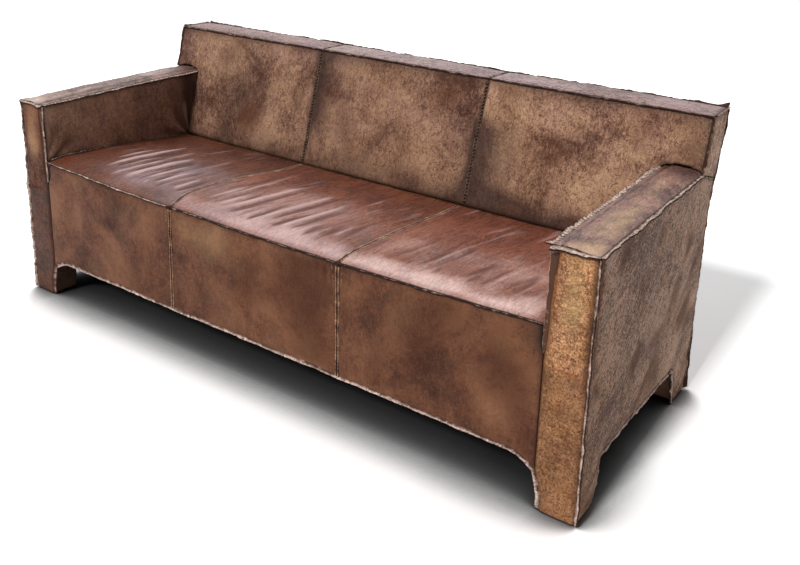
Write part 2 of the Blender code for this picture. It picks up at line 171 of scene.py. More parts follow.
def notch_line(y):
    """Lower edge of an arm's outer panel: the cut-out between the feet."""
    share = min((y - FRONT_FOOT) / FRONT_CURVE, (REAR_FOOT - y) / REAR_CURVE)
    if share <= 0:
        return FOOT_HEM
    if share >= 1:
        return NOTCH
    return FOOT_HEM + (NOTCH - FOOT_HEM) * (1 - (1 - share) ** 2.6)


# ------------------------ small helpers

def smooth(low, high, value):
    """0 below low and 1 above high, with an even change between."""
    t = min(max((value - low) / (high - low), 0.0), 1.0)
    return t * t * (3 - 2 * t)


def bell(distance, width):
    """1 at no distance, fading over the width on both sides."""
    return math.exp(-(distance / width) ** 2)


def one_sided(distance, before, after):
    """1 at no distance, fading over different lengths on its two sides."""
    return math.exp(distance / before) if distance < 0 else math.exp(-distance / after)


def wander(a, b, size, seed):
    """A number between about -1 and 1 that drifts over a plane."""
    return noise.noise(Vector((a / size, b / size, seed * 1.37)))


def settle(point):
    """Old leather over soft stuffing: every line wanders a few millimetres."""
    calm = smooth(0.0, 0.05, point.z - FOOT_HEM)
    moved = noise.noise_vector(point / 0.30 + Vector((3.0, 5.0, 7.0))) * 0.0022
    moved += noise.noise_vector(point / 0.070 + Vector((9.0, 2.0, 4.0))) * 0.0009
    return point + moved * calm


def stand(point):
    """Gives a point of the upright sofa its lean and its wander."""
    return settle(Vector((point[0] * half_width(point[2]) / HALF, point[1], point[2])))


def spread(low, high, count):
    """Even values from low to high, with so many steps between."""
    return [low + (high - low) * i / count for i in range(count + 1)]


def edged(low, high, cell):
    """Values from low to high, closer together near both ends."""
    count = max(3, round(abs(high - low) / cell))
    return [low + (high - low) * (0.55 * t + 0.225 * (1 - math.cos(math.pi * t)))
            for t in spread(0.0, 1.0, count)]


def rows_of(cell, height):
    """Shares of a panel's height, for cells of that size on a panel about that high."""
    return edged(0.0, 1.0, cell / height)


def joined(*stretches):
    """Several stretches of values end to end, with each shared end kept once."""
    return [value for part in stretches[:-1] for value in part[:-1]] + stretches[-1]


def finish_piece(name, bm, materials, nodes=()):
    """Makes the object, in place of one from an earlier run, and tells the frame about it."""
    old = bpy.data.objects.get(name)
    if old and "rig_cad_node" not in old:
        bpy.data.objects.remove(old)
    mesh = bpy.data.meshes.new(name)
    bm.to_mesh(mesh)
    bm.free()
    mesh.shade_smooth()
    for finish in materials:
        mesh.materials.append(bpy.data.materials[finish])
    made = bpy.data.objects.new(name, mesh)
    bpy.context.scene.collection.objects.link(made)
    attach(made, "root")
    if nodes:
        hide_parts(*nodes)
    return made


# ------------------------ leather panels

Edges = namedtuple("Edges", "left right bottom top")
# Values of a, shares of the height, the lower and the upper b for an a, and the place of a,
# b and a depth on the upright sofa.
Plan = namedtuple("Plan", "columns rows low high at")
Marks = namedtuple("Marks", "crown folds sink stain hollow", defaults=(None,) * 4)
REACH = 0.011                  # how far from a turned-out seam a panel starts to dip
TUCK = 0.014                   # radius with which a panel turns into a crevice
CELL = 0.0065                  # usual spacing of a panel's grid
SEAT_CELL = 0.0044             # the seat's folds need a finer one
ARM_CELL = 0.006               # and so do the arms, ends and legs
APRON_CELL = 0.007
RIM = 0.02                     # folds fade out over this distance from an edge
FOLD_SCALE = 250               # the fold attribute is 1 on a ridge of 4 mm
# How far the darkening reaches in from each kind of edge: dirt, and painted shade close
# to the seam.
DIRT = {"fin": 0.013, "lip": 0.0030, "flat": 0.008, "tuck": 0.018, "crease": 0.007}


def edge_depth(kind, gap):
    """How far the skin stands off its panel's face at a distance from an edge."""
    if kind == "fin":
        return LIFT - VALLEY * (1 - smooth(0.0, REACH, gap)) ** 1.4
    if kind == "lip":
        return LIFT - 0.0016 * (1 - smooth(0.0, 0.008, gap))
    if kind == "flat":
        return LIFT + 0.0010 * bell(gap - 0.0105, 0.0035) - 0.0030 * bell(gap, 0.0055)
    if kind == "tuck":
        inside = max(0.0, TUCK - gap)
        return LIFT + math.sqrt(max(0.0, TUCK * TUCK - inside * inside)) - TUCK
    if kind == "crease":
        return LIFT - 0.0050 * bell(gap, 0.006)
    if kind == "hem":
        return LIFT - 0.0022 * bell(gap, 0.008)
    return LIFT


def edges_near(plan, edges, a, b):
    """The kind of each edge that shows, and how far it is from a place."""
    gaps = ((edges.left, a - plan.columns[0]), (edges.right, plan.columns[-1] - a),
            (edges.bottom, b - plan.low(a)), (edges.top, plan.high(a) - b))
    kinds = [(edge(a, b) if callable(edge) else edge, gap) for edge, gap in gaps]
    return [(kind, gap) for kind, gap in kinds if kind != "hidden"]


def panel(name, plan, edges, hide, nodes, marks):
    """A leather sheet over its plan, with its edges dipping to their seams.

    The marks are the crown's height; folds, whose height fades out at the edges; sink,
    an extra depth that does not; stain, from dark dirt and painted shade at 1 to bare wear
    and painted sheen at -1; and hollow, a line b of a: the sheet has no leather past the arm
    and below that line.
    """
    bm = bmesh.new()
    across, up = len(plan.columns) - 1, len(plan.rows) - 1
    bmesh.ops.create_grid(bm, x_segments=across, y_segments=up, size=0.5)
    layers = {key: bm.verts.layers.float.new(key) for key in ("seam", "fold", "stain")}
    first, last = plan.columns[0], plan.columns[-1]
    dropped = []
    for v in bm.verts:
        a = plan.columns[round((v.co.x + 0.5) * across)]
        t = plan.rows[round((v.co.y + 0.5) * up)]
        low, high = plan.low(a), plan.high(a)
        b = low + (high - low) * t
        shown = edges_near(plan, edges, a, b)
        if marks.hollow:
            over, above = ARM_INNER - abs(a), b - marks.hollow(a)
            shown.append(("crease", math.hypot(max(over, 0.0), max(above, 0.0))))
            if over < -0.0001 and above < -0.0001:
                dropped.append(v)
        s = (a - first) / (last - first)
        depth = min([LIFT] + [edge_depth(kind, gap) for kind, gap in shown])
        depth += marks.crown * (1 - (2 * s - 1) ** 4) * (1 - (2 * t - 1) ** 4)
        rim = min([1.0] + [gap / RIM for kind, gap in shown])
        height = rim * marks.folds(a, b) if marks.folds else 0.0
        sunk = marks.sink(a, b) if marks.sink else 0.0
        # the seam attribute darkens the leather towards its edges: dirt, and painted shade in the
        # crevice
        v[layers["seam"]] = max([0.0] + [math.exp(-gap / DIRT[kind]) for kind, gap in shown
                                         if kind in DIRT])
        v[layers["fold"]] = height * FOLD_SCALE
        v[layers["stain"]] = marks.stain(a, b) if marks.stain else 0.0
        v.co = stand(plan.at(a, b, depth + height - sunk))
    bmesh.ops.delete(bm, geom=dropped, context="VERTS")
    face_out(bm, plan)
    made = finish_piece(name, bm, [hide, "split_suede"], nodes)
    shell = made.modifiers.new("hide", "SOLIDIFY")
    shell.thickness = SKIN
    shell.offset = -1.0
    shell.material_offset = 1
    declare_cut(plan, marks)


def face_out(bm, plan):
    """Turns the sheet's faces to the side that depth points to."""
    bmesh.ops.recalc_face_normals(bm, faces=bm.faces[:])
    a = plan.columns[len(plan.columns) // 3]
    b = (plan.low(a) + plan.high(a)) / 2
    here, above = stand(plan.at(a, b, 0.0)), stand(plan.at(a, b, 0.01))
    nearest = min(bm.faces, key=lambda f: (f.calc_center_median() - here).length)
    if nearest.normal.dot(above - here) < 0:
        bmesh.ops.reverse_faces(bm, faces=bm.faces[:])


def declare_cut(plan, marks):
    """Works out the cut area from the visible size and the seam allowance all round, but passes it
    nowhere.
    """
    tall = []
    for a in plan.columns:
        low = plan.low(a)
        if marks.hollow and abs(a) > ARM_INNER:
            low = marks.hollow(a)
        tall.append(plan.high(a) - low + 2 * ALLOWANCE)
    steps = [abs(end - start) for start, end in zip(plan.columns, plan.columns[1:])]
    area = sum(step * (one + two) / 2 for step, one, two in zip(steps, tall, tall[1:]))
    area += ALLOWANCE * (tall[0] + tall[-1])


# ------------------------ places of the panels

def on_front(a, b, depth):
    return (a, FRONT - depth, b)


def on_front_sideways(side):
    """For a plan with a up and b across, measured outwards from the middle."""
    return lambda a, b, depth: (side * b, FRONT - depth, a)


def on_back(a, b, depth):
    return (a, face_of_back(b) - depth / TILT, b + depth * RAKE / TILT)


def on_rear(a, b, depth):
    return (a, rear_of_back(b) + depth, b)


def on_top(a, b, depth):
    return (a, b, BACK_HEIGHT + depth)


def on_outer(side):
    return lambda a, b, depth: (side * (HALF + depth), a, b)


def on_inner(side):
    return lambda a, b, depth: (side * (ARM_INNER - depth), a, b)


def on_end(side):
    """For a plan with a up and b along Y."""
    return lambda a, b, depth: (side * (HALF + depth), b, a)


def always(value):
    """A line that stays level."""
    return lambda a: value


def third(which, seam, reach):
    """Where a third starts and ends along X."""
    return {"left": (-reach, -seam), "middle": (-seam, seam), "right": (seam, reach)}[which]


def third_edges(which, outer, bottom, top):
    """The outer panels end at the arms, and the rest of the upright edges are flat seams."""
    left = outer if which == "left" else "flat"
    right = outer if which == "right" else "flat"
    return Edges(left, right, bottom, top)


def mirrored(side, start, end):
    """A stretch along X given from the middle outwards."""
    return (start, end) if side > 0 else (-end, -start)


# ------------------------ turned-out seams

# Points of a section: millimetres across, share of the height, and how pale. The root is how
# deep it reaches into the seam.
Section = namedtuple("Section", "points root")
# A seam: its path, how its edges stand, their height at both ends, how wavy they are, the
# pitch of their pleats, what they are taller by at both ends, and factors for their width,
# paleness and tears.
Run = namedtuple("Run", "points out height ruffle pitch ears wide bare torn",
                 defaults=(0, (0, 0), 1.0, 1.0, 1.0))
FIN = Section((                # two raw edges side by side, pale at their tips
    (-2.3, -1.0, 0), (-2.2, 0.15, 0), (-1.8, 0.62, 0.2), (-1.9, 0.90, 0.8), (-1.4, 1.0, 1),
    (-0.6, 0.95, 1), (0.0, 0.66, 0), (0.6, 0.93, 1), (1.4, 1.0, 1), (1.9, 0.90, 0.8),
    (1.8, 0.62, 0.2), (2.2, 0.15, 0), (2.3, -1.0, 0)), 0.0055)
BAND = Section((               # a folded edge: dark faces and a thin pale rim
    (-2.3, -1.0, 0), (-2.2, 0.15, 0), (-1.9, 0.60, 0), (-1.8, 0.88, 0), (-1.5, 0.96, 0.8),
    (-0.6, 1.0, 1), (0.6, 1.0, 1), (1.5, 0.97, 1), (1.9, 0.93, 0.5), (1.8, 0.60, 0),
    (2.2, 0.15, 0), (2.3, -1.0, 0)), 0.0055)
# The lower skin of the lip is painted dark as the shadow under the edge.
LIP = Section((                # the upper skin is rubbed pale, the longer lower one is dark
    (2.2, -1.0, 0.2), (2.25, 0.0, 0.35), (1.7, 0.30, 0.65), (2.0, 0.70, 1), (1.5, 1.0, 1),
    (0.5, 0.96, 0.9), (-0.3, 0.74, 0.1), (-0.9, 1.04, 0), (-2.0, 1.14, 0), (-3.0, 1.0, 0),
    (-2.8, 0.55, 0), (-3.0, 0.1, 0), (-3.1, -1.0, 0)), 0.0055)
# The welt's ridges are painted pale as highlights and its sewn groove dark as shade.
WELT = Section((               # two low folded edges with a sewn groove between them
    (-7.5, -1.0, 0), (-6.6, 0.1, 0.1), (-5.2, 0.85, 0.6), (-3.9, 1.0, 0.9), (-2.5, 0.65, 0.4),
    (-0.9, 0.35, 0), (0.0, -0.30, 0), (0.9, 0.35, 0), (2.5, 0.65, 0.4), (3.9, 1.0, 0.9),
    (5.2, 0.85, 0.6), (6.6, 0.1, 0.1), (7.5, -1.0, 0)), 0.0035)
STEP = 0.0042                  # distance between stations along a seam


def even(height):
    """The same height at both ends."""
    return (height, height)


def facing(x, y, z):
    """The edges stand the same way all along the seam."""
    return lambda tangent: Vector((x, y, z))


def beside(x, y, z):
    """The edges stand square to the seam, in the plane with this normal."""
    return lambda tangent: tangent.cross(Vector((x, y, z)))


def stations(points, step):
    """Evenly spaced places along a path through the points."""
    lengths = [(b - a).length for a, b in zip(points, points[1:])]
    count = max(5, round(sum(lengths) / step))
    places, i, passed = [], 0, 0.0
    for want in spread(0.0, sum(lengths), count):
        while i < len(lengths) - 1 and passed + lengths[i] < want:
            passed += lengths[i]
            i += 1
        share = min(1.0, (want - passed) / lengths[i])
        places.append((points[i].lerp(points[i + 1], share), want))
    return places


def seam_frames(run, seed):
    """For each station: its place, outward and sideways directions, height, sway, distance
    along the seam, and how far the skins are pinched together."""
    places = stations([Vector(p) for p in run.points], STEP)
    total = places[-1][1]
    frames = []
    for i, (here, passed) in enumerate(places):
        before, after = places[max(0, i - 1)][0], places[min(len(places) - 1, i + 1)][0]
        tangent = (after - before).normalized()
        out = run.out(tangent)
        out = (out - tangent * out.dot(tangent)).normalized()
        side = tangent.cross(out)
        lean = 0.35 * wander(passed, seed, 0.060, 2)
        ears = run.ears[0] * bell(passed, 0.018) + run.ears[1] * bell(total - passed, 0.018)
        height = run.height[0] + (run.height[1] - run.height[0]) * passed / total
        torn = 0.42 * wander(passed, seed, 0.040, 1) + 0.34 * wander(passed, seed, 0.013, 5)
        tall = height * (1 + run.torn * torn) + ears
        sway = run.ruffle * (wander(passed, seed, 0.026, 7) + 0.5 * wander(passed, seed, 0.011, 11))
        pinch = 0.5 + 0.5 * wander(passed, seed, 0.015, 13)
        if run.pitch:
            wave = 2 * math.pi * passed / run.pitch + 2.0 * wander(passed, seed, 0.09, 3)
            sway += 0.8 * run.ruffle * math.cos(wave)
            tall *= 1 + 0.12 * math.cos(wave + 1.0)
            pinch = (0.5 + 0.5 * math.cos(wave + 0.5)) ** 2
        turned = (out * math.cos(lean) + side * math.sin(lean),
                  side * math.cos(lean) - out * math.sin(lean))
        frames.append((here, *turned, max(tall, 0.0012), sway, passed, pinch))
    return frames


def add_seam(bm, section, run, seed):
    """Sweeps the section along the seam as a closed tube with closed ends."""
    frames = seam_frames(run, seed)
    raw, pinched = bm.verts.layers.float["raw"], bm.verts.layers.float["pinch"]
    along, around = len(frames) - 1, len(section.points)
    made = bmesh.ops.create_grid(bm, x_segments=along, y_segments=around, size=0.5)["verts"]
    for v in made:
        here, out, side, tall, sway, passed, pinch = frames[round((v.co.x + 0.5) * along)]
        j = round((v.co.y + 0.5) * around) % around
        across, share, bare = section.points[j]
        up = share * tall if share > 0 else share * section.root
        bend = max(share, 0.0) ** 1.7 * sway
        nick = 0.0007 * noise.noise(Vector((passed / 0.0045, j * 2.3, seed))) * bare
        v[raw], v[pinched] = bare * run.bare, pinch
        v.co = stand(here + out * (up + nick) + side * (across * run.wide * 0.001 + bend))
    bmesh.ops.remove_doubles(bm, verts=made, dist=0.000001)


def seam_piece(name, runs, section, finish, seed):
    """Several seams as one piece."""
    bm = bmesh.new()
    bm.verts.layers.float.new("raw")
    bm.verts.layers.float.new("pinch")
    for k, run in enumerate(runs):
        add_seam(bm, section, run, seed + 7.3 * k)
    bmesh.ops.holes_fill(bm, edges=[e for e in bm.edges if e.is_boundary], sides=0)
    bmesh.ops.recalc_face_normals(bm, faces=bm.faces[:])
    finish_piece(name, bm, [finish])


# A path, the way that the leather faces, and the row's distance from the path; then the
# stitches' pitch, length, slant and height over the path.
Row = namedtuple("Row", "points out offset pitch length slant lift")


def stitches(name, rows, thread):
    """Rows of thread stitches, each one a small bead pressed along the seam."""
    bm = bmesh.new()
    for row in rows:
        places = stations([Vector(p) for p in row.points], row.pitch)
        for (start, passed), (end, _) in zip(places, places[1:]):
            along = (end - start).normalized()
            out = (row.out - along * row.out.dot(along)).normalized()
            side = along.cross(out)
            angle = row.slant + 0.15 * wander(passed, row.offset, 0.01, 3)
            lie = along * math.cos(angle) + side * math.sin(angle)
            turn = Matrix((lie, out.cross(lie), out)).transposed().to_4x4()
            shape = Matrix.Diagonal((row.length / 2, 0.0010, 0.0008, 1.0))
            middle = start.lerp(end, 0.5) + side * row.offset + out * row.lift
            bmesh.ops.create_icosphere(bm, subdivisions=1, radius=1.0,
                                       matrix=Matrix.Translation(stand(middle)) @ turn @ shape)
    finish_piece(name, bm, [thread])


# ------------------------ materials

def linear(code):
    """Linear colour of an sRGB hex value such as #8a6a4c."""
    parts = [int(code[i:i + 2], 16) / 255 for i in (1, 3, 5)]
    return tuple(c / 12.92 if c <= 0.04045 else ((c + 0.055) / 1.055) ** 2.4 for c in parts)


def opaque(code):
    """The same colour with an alpha of 1."""
    return (*linear(code), 1.0)


def shade(colour, *factors):
    """The colour made lighter or darker by one factor, or by one for each channel."""
    channels = factors if len(factors) == 3 else factors * 3
    return (*[min(1.0, c * f) for c, f in zip(colour, channels)], 1.0)


def add_node(tree, kind, inputs=None, stops=(), **settings):
    """Adds a shader node with its settings, and sets or links its inputs. A mix is one of
    colours, unless its settings say otherwise."""
    made = tree.nodes.new("ShaderNode" + kind)
    if kind == "Mix":
        made.data_type = "RGBA"
    for name, value in settings.items():
        setattr(made, name, value)
    for place, colour in stops:
        element = (made.color_ramp.elements[0] if place == stops[0][0]
                   else made.color_ramp.elements.new(place))
        element.position, element.color = place, colour
    if stops:
        made.color_ramp.elements.remove(made.color_ramp.elements[-1])
    for key, value in (inputs or {}).items():
        socket = (made.inputs[key] if isinstance(key, int)
                  else next(s for s in made.inputs if s.enabled and s.name == key))
        if isinstance(value, bpy.types.Node):
            value = next(s for s in value.outputs if s.enabled)
        if isinstance(value, bpy.types.NodeSocket):
            tree.links.new(value, socket)
        else:
            socket.default_value = value
    return made


def new_material(name):
    """Makes a material, in place of one from an earlier run, and returns the function that
    adds nodes to it, and the object's coordinates."""
    old = bpy.data.materials.get(name)
    if old:
        bpy.data.materials.remove(old)
    made = bpy.data.materials.new(name)
    made.use_nodes = True
    made.node_tree.nodes.clear()
    add = partial(add_node, made.node_tree)
    return add, add("TexCoord").outputs["Object"]


# clouds, mottle, strokes and grain say how much each pattern lightens and darkens the tone;
# crack, crease and pores how dark the lines and pores are; relief how deep it all is; lie
# turns the strokes; gloss is the roughness and shine the specular level; grime is the
# colour of dirt and of painted shade, worn that of bare wear and of painted sheen, and bloom
# that of the painted highlights on the fold ridges; deep and pale are the factors for the
# darkest and the palest parts of the tone, and the darkest also paints shade in the fold
# troughs and along the seams.
Hide = namedtuple(
    "Hide", "name tone seed clouds mottle strokes grain crack crease pores relief lie gloss "
    "shine grime worn bloom deep pale",
    defaults=(0, 1.2, 1.0, 0.4, 0.7, 0.35, 0.25, 0.45, 1.0, (0, 0, 0), 0.52, 0.25, "#30221d",
              "#a8835f", "#98725a", (0.34, 0.29, 0.29), (1.60, 1.68, 1.60)))


def hide_patterns(add, hide, place):
    """The mottle, strokes and grain of a hide, and their sum with its clouds."""
    clouds = add("TexNoise", {"Vector": place, "Scale": 5.5, "Detail": 4.0, "Roughness": 0.6,
                              "Distortion": 0.4})
    mottle = add("TexNoise", {"Vector": place, "Scale": 62.0, "Detail": 5.0, "Roughness": 0.74,
                              "Distortion": 0.6})
    grain = add("TexNoise", {"Vector": place, "Scale": 200.0, "Detail": 3.0, "Roughness": 0.65})
    turned = add("VectorRotate", {"Vector": place, "Rotation": hide.lie}, rotation_type="EULER_XYZ")
    drawn = add("Mapping", {"Vector": turned, "Scale": (1.0, 1.0, 0.30)})
    strokes = add("TexNoise", {"Vector": drawn, "Scale": 150.0, "Detail": 4.0, "Roughness": 0.65,
                               "Distortion": 0.9})
    value = 0.5
    for pattern, weight in ((clouds, hide.clouds), (mottle, hide.mottle),
                            (strokes, hide.strokes), (grain, hide.grain)):
        centred = add("Math", {0: pattern, 1: 0.5}, operation="SUBTRACT")
        value = add("Math", {0: centred, 1: weight, 2: value}, operation="MULTIPLY_ADD")
    return mottle, strokes, grain, value


def hide_lines(add, hide, place, mottle, grain):
    """Warped places, and there a net of cracks, curled creases and pores."""
    warp = add("TexNoise", {"Vector": place, "Scale": 45.0, "Detail": 3.0})
    warped = add("VectorMath", {0: warp.outputs["Color"], 1: (0.022,) * 3, 2: place},
                 operation="MULTIPLY_ADD")
    net = add("TexVoronoi", {"Vector": warped, "Scale": 70.0}, feature="DISTANCE_TO_EDGE")
    crack = add("MapRange", {"Value": net, "From Min": 0.11, "From Max": 0.0},
                interpolation_type="SMOOTHSTEP")
    where = add("MapRange", {"Value": warp, "From Min": 0.40, "From Max": 0.58})
    crack = add("Math", {0: crack, 1: where}, operation="MULTIPLY")
    curls = add("TexNoise", {"Vector": warped, "Scale": 26.0, "Detail": 2.5, "Roughness": 0.55,
                             "Distortion": 1.2})
    level = add("Math", {0: curls, 1: 0.050}, operation="PINGPONG")
    crease = add("MapRange", {"Value": level, "From Min": 0.014, "From Max": 0.0},
                 interpolation_type="SMOOTHSTEP")
    shown = add("MapRange", {"Value": mottle, "From Min": 0.62, "From Max": 0.42})
    crease = add("Math", {0: crease, 1: shown}, operation="MULTIPLY")
    specks = add("MapRange", {"Value": grain, "From Min": 0.58, "From Max": 0.72,
                              "To Max": hide.pores})
    lines = add("Math", {0: crack, 1: hide.crack, 2: specks}, operation="MULTIPLY_ADD")
    lines = add("Math", {0: crease, 1: hide.crease, 2: lines}, operation="MULTIPLY_ADD",
                use_clamp=True)
    return warped, lines


def with_wear(add, hide, colour, mottle, value):
    """The stain attribute brings grime and painted shade above nought, and bare wear and
    painted sheen below it.
    """
    stain = add("Attribute", attribute_name="stain").outputs["Fac"]
    uneven = add("Math", {0: mottle, 1: 0.5}, operation="SUBTRACT")
    marked = add("Math", {0: uneven, 1: 1.1, 2: stain}, operation="MULTIPLY_ADD")
    light = add("MapRange", {"Value": value, "From Min": 0.20, "From Max": 0.80, "To Min": 0.78,
                             "To Max": 1.22})
    # grime and painted shade above nought, bare wear and painted sheen below it
    for low, high, code in ((0.08, 1.05, hide.grime), (-0.08, -1.05, hide.worn)):
        share = add("MapRange", {"Value": marked, "From Min": low, "From Max": high,
                                 "To Max": 0.92})
        inside = add("MapRange", {"Value": stain, "From Max": low})
        share = add("Math", {0: share, 1: inside}, operation="MULTIPLY")
        varied = add("Mix", {"Factor": 1.0, "A": opaque(code), "B": light}, blend_type="MULTIPLY")
        colour = add("Mix", {"Factor": share, "A": colour, "B": varied})
    return colour


def with_seams(add, hide, colour, mottle, dark):
    """Dirt and painted shade along the seams, painted shade in the troughs and painted
    highlights on the ridges of the folds, and where the troughs are.
    """
    seam = add("Attribute", attribute_name="seam").outputs["Fac"]
    worn = add("Math", {0: mottle, 1: seam}, operation="MULTIPLY")
    dirt = add("MapRange", {"Value": worn, "From Min": 0.14, "From Max": 0.50, "To Max": 0.65})
    # near black right at the seam: painted shade in the crevice
    crevice = add("MapRange", {"Value": seam, "From Min": 0.55, "From Max": 0.92, "To Max": 0.92})
    dirt = add("Math", {0: dirt, 1: crevice}, operation="MAXIMUM")
    colour = add("Mix", {"Factor": dirt, "A": colour, "B": shade(dark, 0.22)})
    fold = add("Attribute", attribute_name="fold").outputs["Fac"]
    # painted shade in the troughs of the folds
    low = add("MapRange", {"Value": fold, "From Min": -0.05, "From Max": -0.45, "To Max": 0.85})
    colour = add("Mix", {"Factor": low, "A": colour, "B": dark})
    # painted highlight on the ridges of the folds
    high = add("MapRange", {"Value": fold, "From Min": 0.25, "From Max": 0.95, "To Max": 0.85})
    colour = add("Mix", {"Factor": high, "A": colour, "B": opaque(hide.bloom)})
    return colour, low


def leather(hide):
    """Drum-dyed buffalo leather, waxed and then worn: clouded brown with dark pores and a
    net of fine cracks, dirty and painted with shade along the seams, painted dark as shade
    in the troughs of its folds and pale as highlights on their ridges.
    Pores and grain are drawn a few times coarser than real ones, so that they show."""
    add, here = new_material(hide.name)
    place = add("Mapping", {"Vector": here, "Location": (hide.seed, hide.seed * 1.3, 2.0)})
    mottle, strokes, grain, value = hide_patterns(add, hide, place)
    dark = shade(hide.tone, *hide.deep)
    colour = add("ValToRGB", {"Fac": value}, stops=[
        (0.12, shade(dark, 0.7)), (0.36, shade(hide.tone, 0.66)), (0.50, shade(hide.tone, 1.0)),
        (0.78, shade(hide.tone, *hide.pale))])

    drift = add("TexNoise", {"Vector": place, "Scale": 8.0, "Detail": 3.0, "Roughness": 0.6})
    greyed = add("MapRange", {"Value": drift, "From Min": 0.45, "From Max": 0.62})
    colour = add("Mix", {"Factor": greyed, "A": colour, "B": (0.98, 0.98, 1.09, 1.0)},
                 blend_type="MULTIPLY")
    warped, lines = hide_lines(add, hide, place, mottle, grain)
    colour = add("Mix", {"Factor": lines, "A": colour, "B": shade(dark, 0.55)})
    colour = with_wear(add, hide, colour, mottle, value)
    colour, low = with_seams(add, hide, colour, mottle, dark)
    rough = add("MapRange", {"Value": value, "From Min": 0.2, "From Max": 0.8,
                             "To Min": hide.gloss + 0.10, "To Max": hide.gloss - 0.06})
    rough = add("Math", {0: lines, 1: 0.25, 2: rough}, operation="MULTIPLY_ADD")
    rough = add("Math", {0: low, 1: 0.25, 2: rough}, operation="MULTIPLY_ADD", use_clamp=True)
    pebble = add("TexVoronoi", {"Vector": warped, "Scale": 420.0})
    height = 0.0
    for pattern, weight in ((pebble, 0.15), (grain, 0.35), (mottle, 0.8),
                            (strokes, 0.5 * hide.strokes), (lines, -0.6)):
        height = add("Math", {0: pattern, 1: weight, 2: height}, operation="MULTIPLY_ADD")
    bump = add("Bump", {"Height": height, "Distance": 0.001 * hide.relief})
    shader = add("BsdfPrincipled", {"Base Color": colour, "Roughness": rough, "Normal": bump,
                                    "IOR": 1.45, "Specular IOR Level": hide.shine,
                                    "Specular Tint": (1.0, 0.88, 0.84, 1.0)})
    add("OutputMaterial", {"Surface": shader})


def raw_edge(name, pale, root):
    """Cut edge and flesh side of the hide: fibrous and quite matt. On a turned-out seam
    the raw attribute fades it from the root, painted dark as the shade deep in the seam, to
    the bleached tip; where the skins are pinched together it stays darker."""
    add, here = new_material(name)
    fibres = add("TexNoise", {"Vector": here, "Scale": 160.0, "Detail": 5.0, "Roughness": 0.7,
                              "Distortion": 0.8})
    patches = add("TexNoise", {"Vector": here, "Scale": 55.0, "Detail": 3.0})
    colour = add("ValToRGB", {"Fac": fibres}, stops=[
        (0.37, shade(pale, 0.26)), (0.49, shade(pale, 0.95)), (0.61, shade(pale, 1.85))])
    if root:
        raw = add("Attribute", attribute_name="raw").outputs["Fac"]
        pinch = add("Attribute", attribute_name="pinch").outputs["Fac"]
        bare = add("Math", {0: patches, 1: 1.5, 2: raw}, operation="MULTIPLY_ADD")
        bare = add("Math", {0: pinch, 1: -0.75, 2: bare}, operation="MULTIPLY_ADD")
        share = add("MapRange", {"Value": bare, "From Min": 0.60, "From Max": 1.35})
        colour = add("Mix", {"Factor": share, "A": opaque(root), "B": colour})
    bump = add("Bump", {"Height": fibres, "Distance": 0.0008, "Strength": 1.0})
    shader = add("BsdfPrincipled", {"Base Color": colour, "Roughness": 0.85, "Normal": bump,
                                    "Specular IOR Level": 0.2})
    add("OutputMaterial", {"Surface": shader})


def linen_thread(name, tone):
    """Waxed linen thread, three strands laid together: fine slanting bands."""
    add, here = new_material(name)
    strands = add("TexWave", {"Vector": here, "Scale": 320.0, "Distortion": 2.0},
                  bands_direction="DIAGONAL")
    colour = add("ValToRGB", {"Fac": strands}, stops=[(0.2, shade(tone, 0.55)),
                                                      (0.8, shade(tone, 1.15))])
    bump = add("Bump", {"Height": strands, "Distance": 0.0003})
    shader = add("BsdfPrincipled", {"Base Color": colour, "Roughness": 0.6, "Normal": bump})
    add("OutputMaterial", {"Surface": shader})


def beech(name, scale):
    """Planed, unfinished beech: pale pinkish wood with faint bands and short dark flecks."""
    add, here = new_material(name)
    along = add("Mapping", {"Vector": here, "Scale": scale})
    bands = add("TexNoise", {"Vector": along, "Scale": 90.0, "Detail": 4.0, "Distortion": 0.6})
    flecks = add("TexNoise", {"Vector": along, "Scale": 700.0, "Detail": 2.0})
    colour = add("ValToRGB", {"Fac": bands}, stops=[(0.35, opaque("#b98f66")),
                                                    (0.65, opaque("#d9b88d"))])
    dots = add("MapRange", {"Value": flecks, "From Min": 0.62, "From Max": 0.70, "To Max": 0.5})
    colour = add("Mix", {"Factor": dots, "A": colour, "B": opaque("#8a6140")})
    bump = add("Bump", {"Height": bands, "Distance": 0.0003, "Strength": 0.6})
    shader = add("BsdfPrincipled", {"Base Color": colour, "Roughness": 0.62, "Normal": bump})
    add("OutputMaterial", {"Surface": shader})


def woven(name, warp_code, weft_code, pitch, roughness):
    """A plain weave of two yarns, one over and one under, at the yarns' real spacing."""
    add, here = new_material(name)
    scale = math.pi / pitch / 10   # at a scale of 1 a wave is pi / 10 long
    across, along = (add("TexWave", {"Vector": here, "Scale": scale, "Distortion": 0.4},
                         bands_direction=axis) for axis in "XY")
    over = add("Math", {0: across, 1: along}, operation="SUBTRACT")
    share = add("MapRange", {"Value": over, "From Min": -0.4, "From Max": 0.4})
    slub = add("TexNoise", {"Vector": here, "Scale": 60.0, "Detail": 4.0})
    yarn = add("Mix", {"Factor": share, "A": opaque(warp_code), "B": opaque(weft_code)})
    dim = add("MapRange", {"Value": slub, "From Min": 0.3, "From Max": 0.7, "To Min": 0.6,
                           "To Max": 1.15})
    colour = add("Mix", {"Factor": 1.0, "A": yarn, "B": dim}, blend_type="MULTIPLY")
    ridges = add("Math", {0: across, 1: along}, operation="MAXIMUM")
    bump = add("Bump", {"Height": ridges, "Distance": 0.0005})
    shader = add("BsdfPrincipled", {"Base Color": colour, "Roughness": roughness, "Normal": bump,
                                    "Sheen Weight": 0.2})
    add("OutputMaterial", {"Surface": shader})


